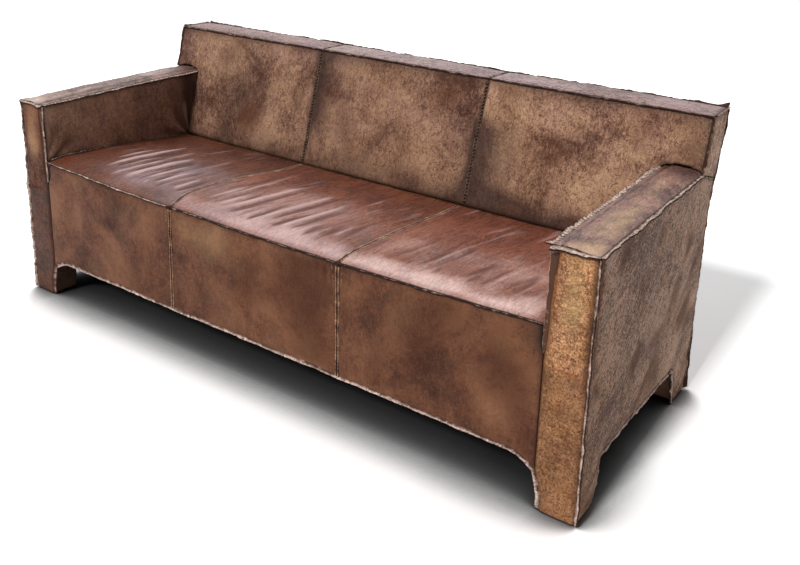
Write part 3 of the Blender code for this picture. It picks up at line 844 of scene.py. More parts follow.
def foam_rubber():
    """Cut upholstery foam: cream, quite matt, and open-celled like fine bread."""
    add, here = new_material("foam_rubber")
    cells = add("TexVoronoi", {"Vector": here, "Scale": 500.0})
    aged = add("TexNoise", {"Vector": here, "Scale": 8.0, "Detail": 4.0})
    colour = add("ValToRGB", {"Fac": aged}, stops=[(0.35, opaque("#b79a5e")),
                                                   (0.65, opaque("#d8c38d"))])
    bump = add("Bump", {"Height": cells, "Distance": 0.001})
    shader = add("BsdfPrincipled", {"Base Color": colour, "Roughness": 0.95, "Normal": bump})
    add("OutputMaterial", {"Surface": shader})


def nylon():
    """Moulded black nylon glides: satin, with scuffs from the floor."""
    add, here = new_material("moulded_nylon")
    scuffs = add("TexNoise", {"Vector": here, "Scale": 180.0, "Detail": 4.0})
    colour = add("ValToRGB", {"Fac": scuffs}, stops=[(0.45, opaque("#141210")),
                                                     (0.75, opaque("#3a352f"))])
    rough = add("MapRange", {"Value": scuffs, "To Min": 0.35, "To Max": 0.65})
    shader = add("BsdfPrincipled", {"Base Color": colour, "Roughness": rough})
    add("OutputMaterial", {"Surface": shader})


def galvanised_wire():
    """Zinc-coated staple wire: grey metal with a dull, slightly mottled coat."""
    add, here = new_material("galvanised_wire")
    spangle = add("TexNoise", {"Vector": here, "Scale": 900.0, "Detail": 2.0})
    colour = add("ValToRGB", {"Fac": spangle}, stops=[(0.4, opaque("#85898c")),
                                                      (0.6, opaque("#b4b8ba"))])
    shader = add("BsdfPrincipled", {"Base Color": colour, "Roughness": 0.42, "Metallic": 1.0})
    add("OutputMaterial", {"Surface": shader})


# ------------------------ seat and apron

Fold = namedtuple("Fold", "start end near far strength")
# The sat-in folds: X at the front end and at the rear end, where along the depth of the
# seat they begin and run out, and how strong they are.
SEAT_FOLDS = [Fold(*row) for row in (
    (-0.735, -0.715, 0.14, 0.36, 0.60), (-0.690, -0.680, 0.10, 0.44, 1.00),
    (-0.655, -0.645, 0.09, 0.30, 0.62), (-0.614, -0.614, 0.04, 0.38, 0.85),
    (-0.568, -0.564, 0.06, 0.34, 1.25), (-0.541, -0.540, 0.07, 0.24, 0.70),
    (-0.516, -0.502, 0.08, 0.31, 0.80), (-0.491, -0.492, 0.06, 0.18, 0.70),
    (-0.466, -0.445, 0.07, 0.26, 0.70), (-0.432, -0.426, 0.08, 0.22, 0.60),
    (-0.380, -0.390, 0.08, 0.22, 0.85), (-0.250, -0.240, 0.09, 0.28, 0.62),
    (-0.226, -0.208, 0.10, 0.40, 0.70), (-0.188, -0.175, 0.08, 0.24, 0.60),
    (-0.149, -0.103, 0.07, 0.43, 1.00), (-0.104, -0.085, 0.05, 0.17, 0.60),
    (-0.072, -0.060, 0.05, 0.17, 0.60), (-0.027, 0.014, 0.08, 0.38, 0.95),
    (0.012, 0.030, 0.06, 0.20, 0.60), (0.058, 0.094, 0.06, 0.30, 0.90),
    (0.120, 0.140, 0.06, 0.20, 0.65), (0.165, 0.168, 0.05, 0.18, 0.50),
    (0.211, 0.205, 0.10, 0.24, 0.55), (0.430, 0.470, 0.08, 0.40, 0.35),
    (0.500, 0.550, 0.07, 0.46, 0.45), (0.600, 0.640, 0.12, 0.40, 0.30),
    (0.690, 0.725, 0.09, 0.34, 0.28), (0.760, 0.790, 0.05, 0.26, 0.26))]


def seat_lift(y):
    """The padding rolls up behind the front seam and levels off."""
    gap = max(0.0, y - FRONT)
    rise = 1 - max(0.0, 1 - gap / 0.095) ** 2
    return 0.011 * rise * (1 - 0.75 * smooth(0.20, 0.56, gap))


def seat_drift(a, b):
    """Sitting has pushed the left seam outwards, most of all just behind the front."""
    gap = b - FRONT
    fade = smooth(0.0, 0.14, gap) * (1 - smooth(0.2, 0.56, gap))
    return -0.030 * bell(a + SEAT_SEAM, 0.13) * fade


def on_seat(a, b, depth):
    x = a + seat_drift(a, b)
    return (x, b, seat_height(x, b) + seat_lift(b) + depth)


def fold_profile(off):
    """A crest that rises slowly from the left and drops steeply into a trough."""
    crest = bell(off, 0.0115) if off < 0 else bell(off, 0.0065)
    return crest - 0.50 * bell(off - 0.0180, 0.0095) - 0.12 * bell(off + 0.026, 0.012)


def seat_folds(height):
    def folds(a, y):
        x, gap, total = a + seat_drift(a, y), y - FRONT, 0.0
        for fold in SEAT_FOLDS:
            share = (gap - fold.near) / (fold.far - fold.near)
            if not -0.3 < share < 1.3:
                continue
            line = fold.start + (fold.end - fold.start) * share
            line += 0.004 * wander(gap, fold.start * 7, 0.07, 5)
            ends = smooth(-0.10, 0.22, share) * (1 - smooth(0.50, 1.15, share))
            off = (x - line) / (0.75 + 0.35 * fold.strength)
            total += fold.strength * ends * fold_profile(off)
        worn = smooth(0.04, 0.10, gap)
        soft = 0.34 * wander(x / 0.030, gap / 0.20, 1.0, 6)
        soft += 0.40 * wander((x - 0.10 * gap) / 0.012, gap / 0.10, 1.0, 9)
        return height * (total + soft * worn)

    return folds


def seat_stain(x, y):
    """Painted sheen over the front roll, dimmer at its very edge and towards the left arm,
    painted mauve sheen over the creased places, a paler patch on the right, painted shade
    towards the back, and a darker right front corner."""
    gap = y - FRONT
    # painted sheen over the front roll, dimmer right at the edge
    front = 1 - smooth(0.020, 0.105, gap + 0.035 * wander(x, gap, 0.07, 3))
    front *= 0.40 + 0.60 * smooth(0.002, 0.024, gap)
    rub = front * (0.20 + 0.75 * smooth(-0.50, 0.05, x)) * smooth(-0.66, -0.56, x)
    # painted mauve sheen over the creased places
    sat = bell(x + 0.50, 0.19) + bell(x + 0.02, 0.22)
    creased = 0.50 * sat * (1 - smooth(0.22, 0.42, gap)) * smooth(0.02, 0.08, gap)
    patch = 0.30 * smooth(0.30, 0.40, x) * bell(gap - 0.17, 0.10)
    corner = 1.35 * smooth(0.82, 0.88, x) * front
    # painted shade towards the back
    rear = 0.30 * smooth(0.30, 0.58, gap)
    return (corner + rear - rub - creased - patch * (1 + wander(x, y, 0.08, 7))
            + 0.2 * wander(x, y, 0.10, 8))


def seat_leather(fold_height):
    """Three seat panels over the foam block, sewn together with flat seams."""
    for which in THIRDS:
        start, end = third(which, SEAT_SEAM, ARM_INNER - 0.0005)
        plan = Plan(edged(start, end, SEAT_CELL), rows_of(SEAT_CELL, 0.588),
                    always(FRONT + GROOVE), always(SEAT_REAR), on_seat)
        panel(f"seat_{which}", plan, third_edges(which, "tuck", "lip", "tuck"),
              f"chestnut_leather_{which}", [f"seat_panel_{which}"],
              Marks(0.004, seat_folds(fold_height), stain=seat_stain))


def apron_folds(x, z):
    """Long soft dents, and puckers where the upright seams start at the seat."""
    top = seat_height(x, FRONT) - z
    gap = min(abs(abs(x) - SEAT_SEAM), 0.1)
    pucker = 0.0016 * bell(top, 0.05) * bell(gap, 0.05) * math.cos(gap / 0.0042)
    over, under = ARM_INNER - abs(x) + 0.004, z - SLIT
    pulled = bell(math.hypot(over, under), 0.055) * math.cos(math.atan2(under, over) * 11)
    return 0.0020 * wander(x, z * 0.5, 0.11, 12) + pucker + 0.0008 * pulled


def apron_sink(x, z):
    """The slit between the apron and the arm's turned-out edge, which ends in a point."""
    open_ = smooth(SLIT - 0.015, SLIT + 0.020, z)
    return 0.0125 * open_ * bell(ARM_INNER - abs(x), 0.004 + 0.010 * open_)


def apron_stain(x, z):
    """Painted shade in the upper corners and down the slit beside each arm, darker beside
    the seams, and one pale place.
    """
    seam = 0.45 * one_sided(abs(x) - SEAT_SEAM, 0.012, 0.026) * smooth(0.25, 0.42, z)
    # painted shade in the upper corners and down the slit beside the arm
    corner = 0.5 * bell(math.hypot(ARM_INNER - abs(x), z - 0.44), 0.07)
    corner += 1.6 * bell(ARM_INNER - abs(x), 0.011) * smooth(SLIT - 0.015, SLIT + 0.02, z)
    pale = 0.35 * bell(x + 0.18, 0.13) * bell(z - 0.40, 0.05)
    return seam + corner - pale + 0.33 * wander(x, z, 0.11, 37)


def apron_leather():
    """Three panels from the seat's front edge down to the hem."""
    for which in THIRDS:
        start, end = third(which, SEAT_SEAM, ARM_INNER)
        plan = Plan(edged(start, end, APRON_CELL), rows_of(APRON_CELL, 0.32), hem_line,
                    lambda a: seat_height(a, FRONT) - GROOVE, on_front)
        panel(f"apron_leather_{which}", plan, third_edges(which, "flat", "hem", "fin"),
              "brown_leather", [f"apron_{which}"],
              Marks(0.005, apron_folds, apron_sink, apron_stain))


# ------------------------ back

SHOULDER = arm_height(SEAT_REAR) + 0.003


def shoulder(x):
    """Where the back's leather ends over an arm, arched like the arm's crown."""
    across = (abs(x) - ARM_INNER) / ARM_WIDTH * 2 - 1
    return SHOULDER + 0.010 * (1 - min(1.0, abs(across)) ** 2)


def back_folds(x, z):
    """Soft dents, and short drag lines beside the seams."""
    seam = min(abs(abs(x) - BACK_SEAM), 0.2)
    drag = 0.0007 * math.cos(seam / 0.006 + z / 0.02) * bell(seam - 0.02, 0.03)
    return 0.0024 * wander(x, z, 0.12, 17) + drag


def back_stain(x, z):
    """Painted grey shade on one side of each seam, darker towards the seat, the right arm
    and the top, and two dark patches."""
    up = (z - SEAT_REAR_HEIGHT) / (BACK_HEIGHT - SEAT_REAR_HEIGHT)
    # painted grey shade on one side of each seam
    first = one_sided(x + BACK_SEAM, 0.010, 0.060) * smooth(0.12, 0.45, up) * 1.5
    second = one_sided(x - BACK_SEAM, 0.018, 0.075) * (1 - smooth(0.50, 0.85, up)) * 2.0
    low = 1.3 * (1 - smooth(0.02, 0.28, up + 0.08 * wander(x, z, 0.09, 3)))
    low *= 0.45 + 0.55 * smooth(-0.2, 0.7, x)
    wedge = 0.55 * bell(x + 0.045 - 0.25 * (up - 0.3), 0.035) * bell(up - 0.30, 0.18)
    wedge += 0.75 * bell(x + 0.63, 0.10) * bell(up - 0.5, 0.25)
    arm = 0.65 * smooth(0.80, 0.96, x) * (1 - 0.4 * smooth(0.70, 0.95, up))
    top = 0.50 * smooth(0.86, 1.0, up)
    return first + second + low + wedge + arm + top + 0.2 * wander(x, z, 0.14, 57)


def back_leather():
    """Three face panels, the outer ones widening above the arms."""
    rise = BACK_HEIGHT - GROOVE - SEAT_REAR_HEIGHT
    step = (SHOULDER - SEAT_REAR_HEIGHT) / rise
    rows = joined(edged(0.0, step, CELL / rise), edged(step, 1.0, CELL / rise))
    arm = joined(edged(BACK_SEAM, ARM_INNER, CELL), edged(ARM_INNER, HALF - GROOVE, CELL))
    columns = {"left": [-x for x in reversed(arm)], "right": arm,
               "middle": edged(-BACK_SEAM, BACK_SEAM, CELL)}
    for which in THIRDS:
        outer = which != "middle"
        plan = Plan(columns[which], rows, always(SEAT_REAR_HEIGHT),
                    always(BACK_HEIGHT - GROOVE), on_back)
        panel(f"back_leather_{which}", plan, third_edges(which, "fin", "tuck", "fin"),
              f"tan_leather_{which}", [f"back_panel_{which}"],
              Marks(0.006, back_folds, stain=back_stain, hollow=shoulder if outer else None))


def top_leather():
    """Three narrow panels along the top of the back."""
    front, rear = face_of_back(BACK_HEIGHT) + GROOVE, REAR_TOP - GROOVE
    for which in THIRDS:
        start, end = third(which, BACK_SEAM, HALF - GROOVE)
        plan = Plan(edged(start, end, CELL), rows_of(CELL, 0.125),
                    always(front), always(rear), on_top)
        panel(f"top_leather_{which}", plan, third_edges(which, "fin", "lip", "fin"),
              f"rubbed_leather_{which}", [f"top_panel_{which}"],
              Marks(0.006, lambda a, b: 0.0012 * wander(a, b, 0.05, 23)))


def rear_leather():
    """The plain rear, one panel from the hem to the top."""
    plan = Plan(edged(GROOVE - HALF, HALF - GROOVE, 0.010), rows_of(0.010, 0.68),
                always(HEM), always(BACK_HEIGHT - GROOVE), on_rear)
    panel("rear_leather", plan, Edges("fin", "fin", "hem", "fin"), "rear_brown_leather",
          ["rear_panel"],
          Marks(0.003, lambda a, b: 0.0018 * wander(a, b, 0.16, 41),
                stain=lambda a, b: 0.5 * wander(a, b, 0.2, 43)))


# ------------------------ arms

BROW = face_of_back(arm_height(SEAT_REAR))
CORNER_HEIGHT = 0.637


def outer_top(y):
    """Upper edge of the arm's outer panel: level with the arm, then down to the rear."""
    if y <= BROW:
        return arm_height(y) - GROOVE
    share = (y - BROW) / (rear_of_back(CORNER_HEIGHT) - BROW)
    drop = CORNER_HEIGHT - arm_height(BROW)
    return arm_height(BROW) - GROOVE + drop * min(share, 1.0)


def outer_low(y):
    """Lower edge: the notch, and the rear edge where that leans back."""
    if y <= REAR_FACE:
        return notch_line(y)
    lean = (REAR_TOP - REAR_FACE) / (BACK_HEIGHT - KNEE)
    return KNEE + (y - REAR_FACE) / lean


def on_arm_top(a, b, depth):
    """The arm's top swells towards the back, where nobody leans on it."""
    across = (abs(a) - ARM_INNER) / ARM_WIDTH * 2 - 1
    swell = 0.006 * smooth(0.40, 0.62, b - FRONT) * (1 - across ** 2)
    return (a, b, arm_height(b) + swell + depth)


def arm_top_folds(x, y):
    """A groove runs along inside the inner seam."""
    groove = bell(abs(x) - ARM_INNER - 0.018 - 0.003 * wander(y, 0.0, 0.06, 8), 0.0035)
    return 0.0020 * wander(x, y, 0.04, 27) - 0.0022 * groove


def arm_top_stain(x, y):
    """A tan patch worn through the wax on the right arm, darker along the inner seam and at
    the rear, and painted highlights where hands rest and along the crown."""
    gap, across = y - FRONT, abs(x) - ARM_INNER
    patch = bell(gap - 0.20, 0.13) * bell(across - 0.072, 0.022) * (x > 0)
    edge = 0.55 * bell(across - 0.018, 0.006)
    rear = 0.5 * smooth(0.50, 0.62, gap)
    # painted highlights where hands rest and along the crown
    shine = 1.1 * bell(gap - 0.024, 0.024) * bell(across - 0.070, 0.034)
    shine += 0.5 * bell(across - 0.040, 0.010) * bell(gap - 0.17, 0.12)
    shine += 0.5 * bell(across - 0.055, 0.016) * bell(gap - 0.46, 0.07)
    return edge + rear - 1.0 * patch - shine + 0.35 * wander(x, y, 0.035, 5)


def arm_top_leather(name, side):
    """The arm's top, which runs on into the back."""
    start, end = mirrored(side, ARM_INNER + GROOVE, HALF - GROOVE)
    plan = Plan(edged(start, end, 0.0055), rows_of(ARM_CELL, 0.65),
                always(FRONT + GROOVE), always(ARM_REAR + 0.012), on_arm_top)
    panel(f"arm_pad_{name}", plan, Edges("lip", "lip", "lip", "hidden"),
          f"waxed_leather_{name}", [f"arm_top_{name}"],
          Marks(0.0075, arm_top_folds, stain=arm_top_stain))


def band_root(z):
    """How far in from the arm's inner front corner its turned-out seam starts."""
    share = min(max((z - SLIT) / (ARM_FRONT_HEIGHT - SLIT), 0.0), 1.0)
    return 0.002 + 0.010 * share


def arm_front_folds(z, x):
    """A crease under the golden part, and a groove along the turned-out seam."""
    across = abs(x) - ARM_INNER
    crease = bell(z - 0.373 + 0.006 * wander(x, z, 0.03, 2), 0.005)
    low = 0.0014 * crease * smooth(0.0, 0.03, across)
    low += 0.0036 * bell(across - band_root(z) - 0.0035, 0.0050) * smooth(SLIT, SLIT + 0.03, z)
    return 0.0010 * wander(x, z, 0.045, 33) - low


def arm_front_stain(z, x):
    """Golden above the crease and browner below it, with painted shade along both seams and
    a painted highlight high in the middle.
    """
    across = abs(x) - ARM_INNER
    below = 0.75 * (1 - smooth(0.355, 0.385, z + 0.02 * wander(x, z, 0.03, 5)))
    # painted shade along both seams, and a painted highlight high in the middle
    sides = 1.1 * (bell(across, 0.020) + bell(across - ARM_WIDTH, 0.016))
    bright = 0.55 * bell(across - 0.062, 0.030) * bell(z - 0.56, 0.09)
    return below + sides * smooth(0.30, 0.40, z) - bright - 0.10 + 0.30 * wander(x, z, 0.05, 9)


def arm_front_leather(name, side):
    """Its plan has a running up the arm. The inner edge is turned out only above the slit."""
    columns = joined(edged(FOOT_HEM, SLIT, ARM_CELL),
                     edged(SLIT, ARM_FRONT_HEIGHT - GROOVE, ARM_CELL))
    plan = Plan(columns, rows_of(0.0036, 0.107),
                lambda z: foot_inner(z) + GROOVE * smooth(SLIT - 0.01, SLIT + 0.02, z),
                always(HALF - GROOVE), on_front_sideways(side))
    edges = Edges("hidden", "fin", lambda z, x: "fin" if z > SLIT else "flat", "fin")
    panel(f"arm_face_{name}", plan, edges, f"arm_front_leather_{name}",
          [f"arm_front_{name}"], Marks(0.003, arm_front_folds, stain=arm_front_stain))


def arm_inner_folds(y, z):
    """Creases fan out of both lower corners."""
    total = 0.0020 * wander(y, z, 0.08, 19) + 0.0006 * wander(y / 0.012, z / 0.08, 1.0, 20)
    for over, reach, strength, count in ((y - FRONT + 0.02, 0.085, 0.0030, 13),
                                         (face_of_back(z) - y + 0.006, 0.12, 0.0034, 11)):
        under = z - 0.44
        fan = math.cos(math.atan2(under, over) * count)
        total += strength * bell(math.hypot(over, under) - 0.3 * reach, reach) * fan
    return total


def arm_inner_stain(y, z):
    """Dark where the arm meets the back."""
    return 1.2 * bell(y - SEAT_REAR - 0.01, 0.05) + 0.2 * wander(y, z, 0.1, 61)


def arm_inner_leather(name, side):
    """The arm's inside, which runs on below the seat and into the back."""
    plan = Plan(edged(FRONT + GROOVE, ARM_REAR, ARM_CELL), rows_of(ARM_CELL, 0.30),
                always(0.380), lambda y: arm_height(y) - GROOVE, on_inner(side))
    panel(f"arm_lining_leather_{name}", plan, Edges("fin", "hidden", "hidden", "fin"),
          "dark_leather", [f"arm_inner_{name}"],
          Marks(0.004, arm_inner_folds, stain=arm_inner_stain))


def outer_columns():
    """Columns of the outer panel, dense where the notch curves down into the feet."""
    curve_front, curve_rear = FRONT_FOOT + FRONT_CURVE, REAR_FOOT - REAR_CURVE
    end = rear_of_back(CORNER_HEIGHT) - 0.004
    return joined(edged(FRONT + GROOVE, FRONT_FOOT, ARM_CELL), spread(FRONT_FOOT, curve_front, 26),
                  spread(curve_front, curve_rear, 56), spread(curve_rear, REAR_FOOT, 30),
                  edged(REAR_FOOT, REAR_FACE - 0.001, ARM_CELL),
                  spread(REAR_FACE - 0.001, end, 5))


def outer_folds(y, z):
    """Slanting drags, and a groove behind the front seam's upper half."""
    slant = wander(y - 1.1 * z, z * 0.4, 0.045, 51)
    pinch = bell(y - FRONT - 0.014, 0.0070) * smooth(0.36, 0.44, z)
    return 0.0012 * slant + 0.0026 * wander(y, z, 0.10, 53) - 0.0038 * pinch


def outer_stain(y, z):
    """Slanting dark bands, and paler places at the front foot, the top and the rear."""
    gap = y - FRONT
    band = 0.75 * wander(y - 1.0 * z, z * 0.5, 0.085, 71)
    foot = -0.35 * (1 - smooth(0.10, 0.30, z)) * (1 - smooth(0.0, 0.25, gap))
    top = 0.3 * bell(z - 0.63, 0.05) * bell(gap - 0.03, 0.05)
    top += 0.4 * bell(gap - 0.66, 0.06) * bell(z - 0.6, 0.08)
    return band + foot - top + 0.1


def arm_outer_leather(name, side):
    """The arm's outside down to the feet, with the cut-out between them."""
    plan = Plan(outer_columns(), rows_of(CELL, 0.55), outer_low, outer_top, on_outer(side))
    panel(f"arm_side_{name}", plan, Edges("fin", "fin", "hem", "fin"),
          f"grey_brown_leather_{name}", [f"arm_outer_{name}"],
          Marks(0.004, outer_folds, stain=outer_stain))


def end_leather(name, side):
    """The band at an end of the back, which narrows to a point behind the arm."""
    def low(z):
        if z > arm_height(BROW):
            return face_of_back(z) + GROOVE
        share = (arm_height(BROW) - z) / (arm_height(BROW) - CORNER_HEIGHT)
        return BROW + GROOVE + (rear_of_back(CORNER_HEIGHT) - BROW) * share

    plan = Plan(edged(CORNER_HEIGHT + 0.004, BACK_HEIGHT - GROOVE, ARM_CELL),
                rows_of(ARM_CELL, 0.125), low, lambda z: rear_of_back(z) - GROOVE,
                on_end(side))
    panel(f"end_leather_{name}", plan, Edges("flat", "fin", "fin", "fin"),
          "beige_leather", [f"back_end_{name}"], Marks(0.003))


# ------------------------ legs and underside

def rounded(points, radius=0.006):
    """A path of straight runs with rounded corners, and how far along it each point lies."""
    points = [Vector(p) for p in points]
    path = [points[0]]
    for before, here, after in zip(points, points[1:], points[2:]):
        back, on = (before - here).normalized(), (after - here).normalized()
        path += [here + back * radius, here + (back + on) * 0.293 * radius, here + on * radius]
    path.append(points[-1])
    passed = [0.0]
    for start, end in zip(path, path[1:]):
        passed.append(passed[-1] + (end - start).length)
    return path, passed


def leg_wrap(end, name, points, flip):
    """A strip of hide bent round the hidden sides of a leg and tacked to it."""
    path, passed = rounded(points)

    def at(a, b, depth):
        i = next(k for k in range(len(passed) - 1) if a <= passed[k + 1] + 1e-9)
        along = (path[i + 1] - path[i]).normalized()
        here = path[i] + along * (a - passed[i])
        out = Vector((along.y, -along.x)) * flip
        return (here.x + out.x * (depth - LIFT), here.y + out.y * (depth - LIFT), b)

    columns = joined(*[spread(low, high, max(1, round((high - low) / 0.008)))
                       for low, high in zip(passed, passed[1:])])
    plan = Plan(columns, rows_of(ARM_CELL, 0.13), always(FOOT_HEM + 0.001), always(0.132), at)
    panel(f"wrap_leather_{end}_{name}", plan, Edges("hem", "hem", "hem", "hidden"),
          f"leg_leather_{end}", [f"leg_wrap_{end}_{name}"],
          Marks(0.0008, lambda a, b: 0.0010 * wander(a, b, 0.03, 81),
                stain=lambda a, b: 0.5 * wander(a, b, 0.05, 83)))


def leg_wraps(name, side):
    """Wraps for the front and the rear leg under an arm."""
    inner, outer = side * LEG_INNER, side * (HALF - 0.004)
    leg_wrap("front", name,
             [(inner, FRONT + 0.003), (inner, FRONT_FOOT), (outer, FRONT_FOOT)], -side)
    leg_wrap("rear", name,
             [(outer, REAR_FOOT), (inner, REAR_FOOT), (inner, REAR_FACE), (outer, REAR_FACE)],
             -side)


def underside():
    """Black lining cloth stapled under the rails, sagging between them."""
    low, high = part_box("dust_cover")
    bm = bmesh.new()
    bmesh.ops.create_grid(bm, x_segments=120, y_segments=44, size=0.5)
    post = abs(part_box("rear_post_left")[1].x) - 0.004
    for v in bm.verts:
        x, y = low.x + (high.x - low.x) * (v.co.x + 0.5), low.y + (high.y - low.y) * (v.co.y + 0.5)
        if abs(x) < SEAT_SEAM:
            bays = math.cos(math.pi * (abs(x) / SEAT_SEAM))
        else:
            bays = -math.cos(math.pi * (abs(x) - SEAT_SEAM) / (post - SEAT_SEAM))
        sag = 0.0035 * (0.5 + 0.5 * bays) * (1 - (2 * v.co.y) ** 2)
        ripple = 0.0006 * wander(x, y, 0.03, 91)
        v.co = Vector((x, y, high.z - 0.0004 - max(0.0, sag + ripple)))
    bmesh.ops.delete(bm, geom=[v for v in bm.verts if abs(v.co.x) > post
                               and not FRONT_FOOT < v.co.y < REAR_FOOT], context="VERTS")
    made = finish_piece("underside_cloth", bm, ["black_lining_cloth"],
                        ["dust_cover"])
    shell = made.modifiers.new("cloth", "SOLIDIFY")
    shell.thickness = 0.0007
    shell.offset = 0.0
    staples = bmesh.new()
    reach = post - 0.03
    rows = [(x, y) for y in (low.y + 0.012, high.y - 0.012) for x in spread(-reach, reach, 36)]
    for x, y in rows:
        size = Matrix.Diagonal((0.0105, 0.0011, 0.0006, 1.0))
        turn = Matrix.Rotation(0.25 * wander(x, y, 0.02, 95), 4, "Z")
        bmesh.ops.create_cube(staples, size=1.0,
                              matrix=Matrix.Translation((x, y, high.z - 0.0013)) @ turn @ size)
    finish_piece("underside_staples", staples, ["galvanised_wire"])


# ------------------------ padding

FOAM_CELL = 0.06


def padding_block(name, nodes, low, high, shape):
    """A foam block with eased edges, a little smaller than the space that it fills. Its box
    runs from low to high, and shape bends that box to its place on the sofa."""
    bm = bmesh.new()
    bmesh.ops.create_cube(bm, size=1.0)
    for axis in range(3):
        run = [e for e in bm.edges if abs((e.verts[0].co - e.verts[1].co)[axis]) > 0.5]
        cuts = max(1, round((high[axis] - low[axis]) / FOAM_CELL))
        bmesh.ops.subdivide_edges(bm, edges=run, cuts=cuts, use_grid_fill=True)
    for v in bm.verts:
        share = v.co + Vector((0.5, 0.5, 0.5))
        v.co = Vector(shape(*[a + (b - a) * s for a, b, s in zip(low, high, share)]))
        v.co += noise.noise_vector(v.co / 0.05) * 0.0006
    bmesh.ops.recalc_face_normals(bm, faces=bm.faces[:])
    made = finish_piece(name, bm, ["foam_rubber"], nodes)
    ease = made.modifiers.new("eased_edges", "BEVEL")
    ease.width, ease.segments, ease.limit_method = 0.003, 2, "ANGLE"


def padding():
    """Foam and wadding under every soft face."""
    clear = 0.009              # room between the foam and the nominal face of the leather
    reach = ARM_INNER - 0.006

    def leaning(x, y, z):
        return (x * half_width(z) / HALF, y, z)

    def on_rake(x, y, z):
        return leaning(x, y + face_of_back(z), z)

    seat_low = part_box("seat_foam")[0].z + 0.001
    padding_block("seat_block", ["seat_foam"], (-reach, FRONT + clear, 0.0),
                  (reach, SEAT_REAR + 0.045, 1.0),
                  lambda x, y, t: leaning(x, y, seat_low + t * (
                      seat_height(x, y) - clear - seat_low)))
    padding_block("back_block", ["back_foam"], (-HALF + clear + 0.004, clear, 0.452),
                  (HALF - clear - 0.004, 0.046, BACK_HEIGHT - 0.018),
                  lambda x, y, z: on_rake(max(-reach, min(reach, x)) if z < SHOULDER + 0.04
                                          else x, y, z))
    padding_block("apron_wadding", ["apron_lining"], (-reach, FRONT + 0.0068, 0.142),
                  (reach, FRONT + 0.0134, 0.336), leaning)
    padding_block("top_wadding", ["top_lining"],
                  (-HALF + clear, face_of_back(BACK_HEIGHT) + clear, BACK_HEIGHT - 0.0148),
                  (HALF - clear, REAR_TOP - clear, BACK_HEIGHT - 0.0064), leaning)
    for name, side in SIDES.items():
        start, end = mirrored(side, ARM_INNER + 0.0068, ARM_INNER + 0.0140)
        padding_block(f"arm_wadding_{name}", [f"arm_lining_{name}"],
                      (start, FRONT + clear, 0.0), (end, 0.2235, 1.0),
                      lambda x, y, t: leaning(x, y, 0.35 + t * (arm_height(y) - clear - 0.35)))


# ------------------------ seams

def arm_seams(name, side, height):
    """The torn seams round an arm's top, and the upright ones at its front."""
    inner, outer, near = ARM_INNER + GROOVE, HALF - GROOVE, FRONT + GROOVE
    top = arm_height(FRONT) - GROOVE
    rear, rear_top = ARM_REAR - 0.004, arm_height(ARM_REAR) - GROOVE

    def at(x, y, z):
        return (side * x, y, z)

    flanges = [
        Run([at(inner, near, top), at(inner, rear, rear_top)], facing(-side, 0, 0.10),
            even(1.10 * height), 0.0016, pitch=0.013, ears=(0.009, -0.002), wide=side),
        Run([at(outer, near, top), at(outer, rear, rear_top)], facing(side, 0, 0.06),
            even(0.80 * height), 0.0022, ears=(0.003, 0), wide=-0.8 * side),
        Run([at(inner, near, top), at(outer, near, top)], facing(0, -1, -0.05),
            even(0.85 * height), 0.0038, ears=(0.010, 0.003), wide=-side),
    ]
    band = Run([at(ARM_INNER + band_root(z), FRONT, z) for z in (top - 0.004, SLIT - 0.006)],
               facing(-side, -0.30, 0), (1.35 * height, 0.6 * height), 0.0016,
               ears=(0, -0.003), wide=1.2, bare=0.8, torn=0.5)
    upright = [
        Run([at(outer, near, top - 0.004), at(outer, near, 0.435)], facing(side, -1, 0),
            even(0.55 * height), 0.0026, ears=(0.002, 0), wide=side, bare=0.55),
        Run([at(outer, near, 0.44), at(outer, near, FOOT_HEM + 0.002)], facing(side, -1, 0),
            even(0.75 * height), 0.0020, ears=(0, 0.001), wide=side, bare=0.9),
    ]
    seam_piece(f"arm_flanges_{name}", flanges, LIP, "flat_edge", 11 + side)
    seam_piece(f"arm_seams_{name}", upright, LIP, "turned_edge", 15 + side)
    seam_piece(f"arm_bands_{name}", [band], BAND, "folded_edge", 18 + side)


def front_seams(height):
    """The seam along the seat's front edge, its turn beside the left arm, and two knots."""
    reach = ARM_INNER - 0.004
    runs = []
    for start, end, bare in ((-reach, -SEAT_SEAM, 0.80), (-SEAT_SEAM, reach, 0.28)):
        points = [(x, FRONT + GROOVE, seat_height(x, FRONT) - GROOVE)
                  for x in spread(start, end, 30)]
        runs.append(Run(points, facing(0, -1, 0.15), even(0.64 * height), 0.0024, wide=-0.65,
                        bare=bare))
    beside_arm = 0.008 - ARM_INNER
    side = [(beside_arm, y, seat_height(beside_arm, y) + seat_lift(y) + 0.003)
            for y in spread(FRONT + 0.010, FRONT + 0.27, 14)]
    runs.append(Run(side, facing(0.4, 0, 1), (0.0065, 0.0020), 0.0014, wide=0.7))
    for x in (-SEAT_SEAM, SEAT_SEAM):
        knot = [(x + off, FRONT + GROOVE, seat_height(x, FRONT) - GROOVE)
                for off in (-0.007, -0.003, 0.003, 0.007)]
        runs.append(Run(knot, facing(0, -1, 0.3), even(0.8 * height), 0.0010, wide=-1.6, bare=0))
    seam_piece("seat_front_seam", runs, LIP, "flat_edge", 21)


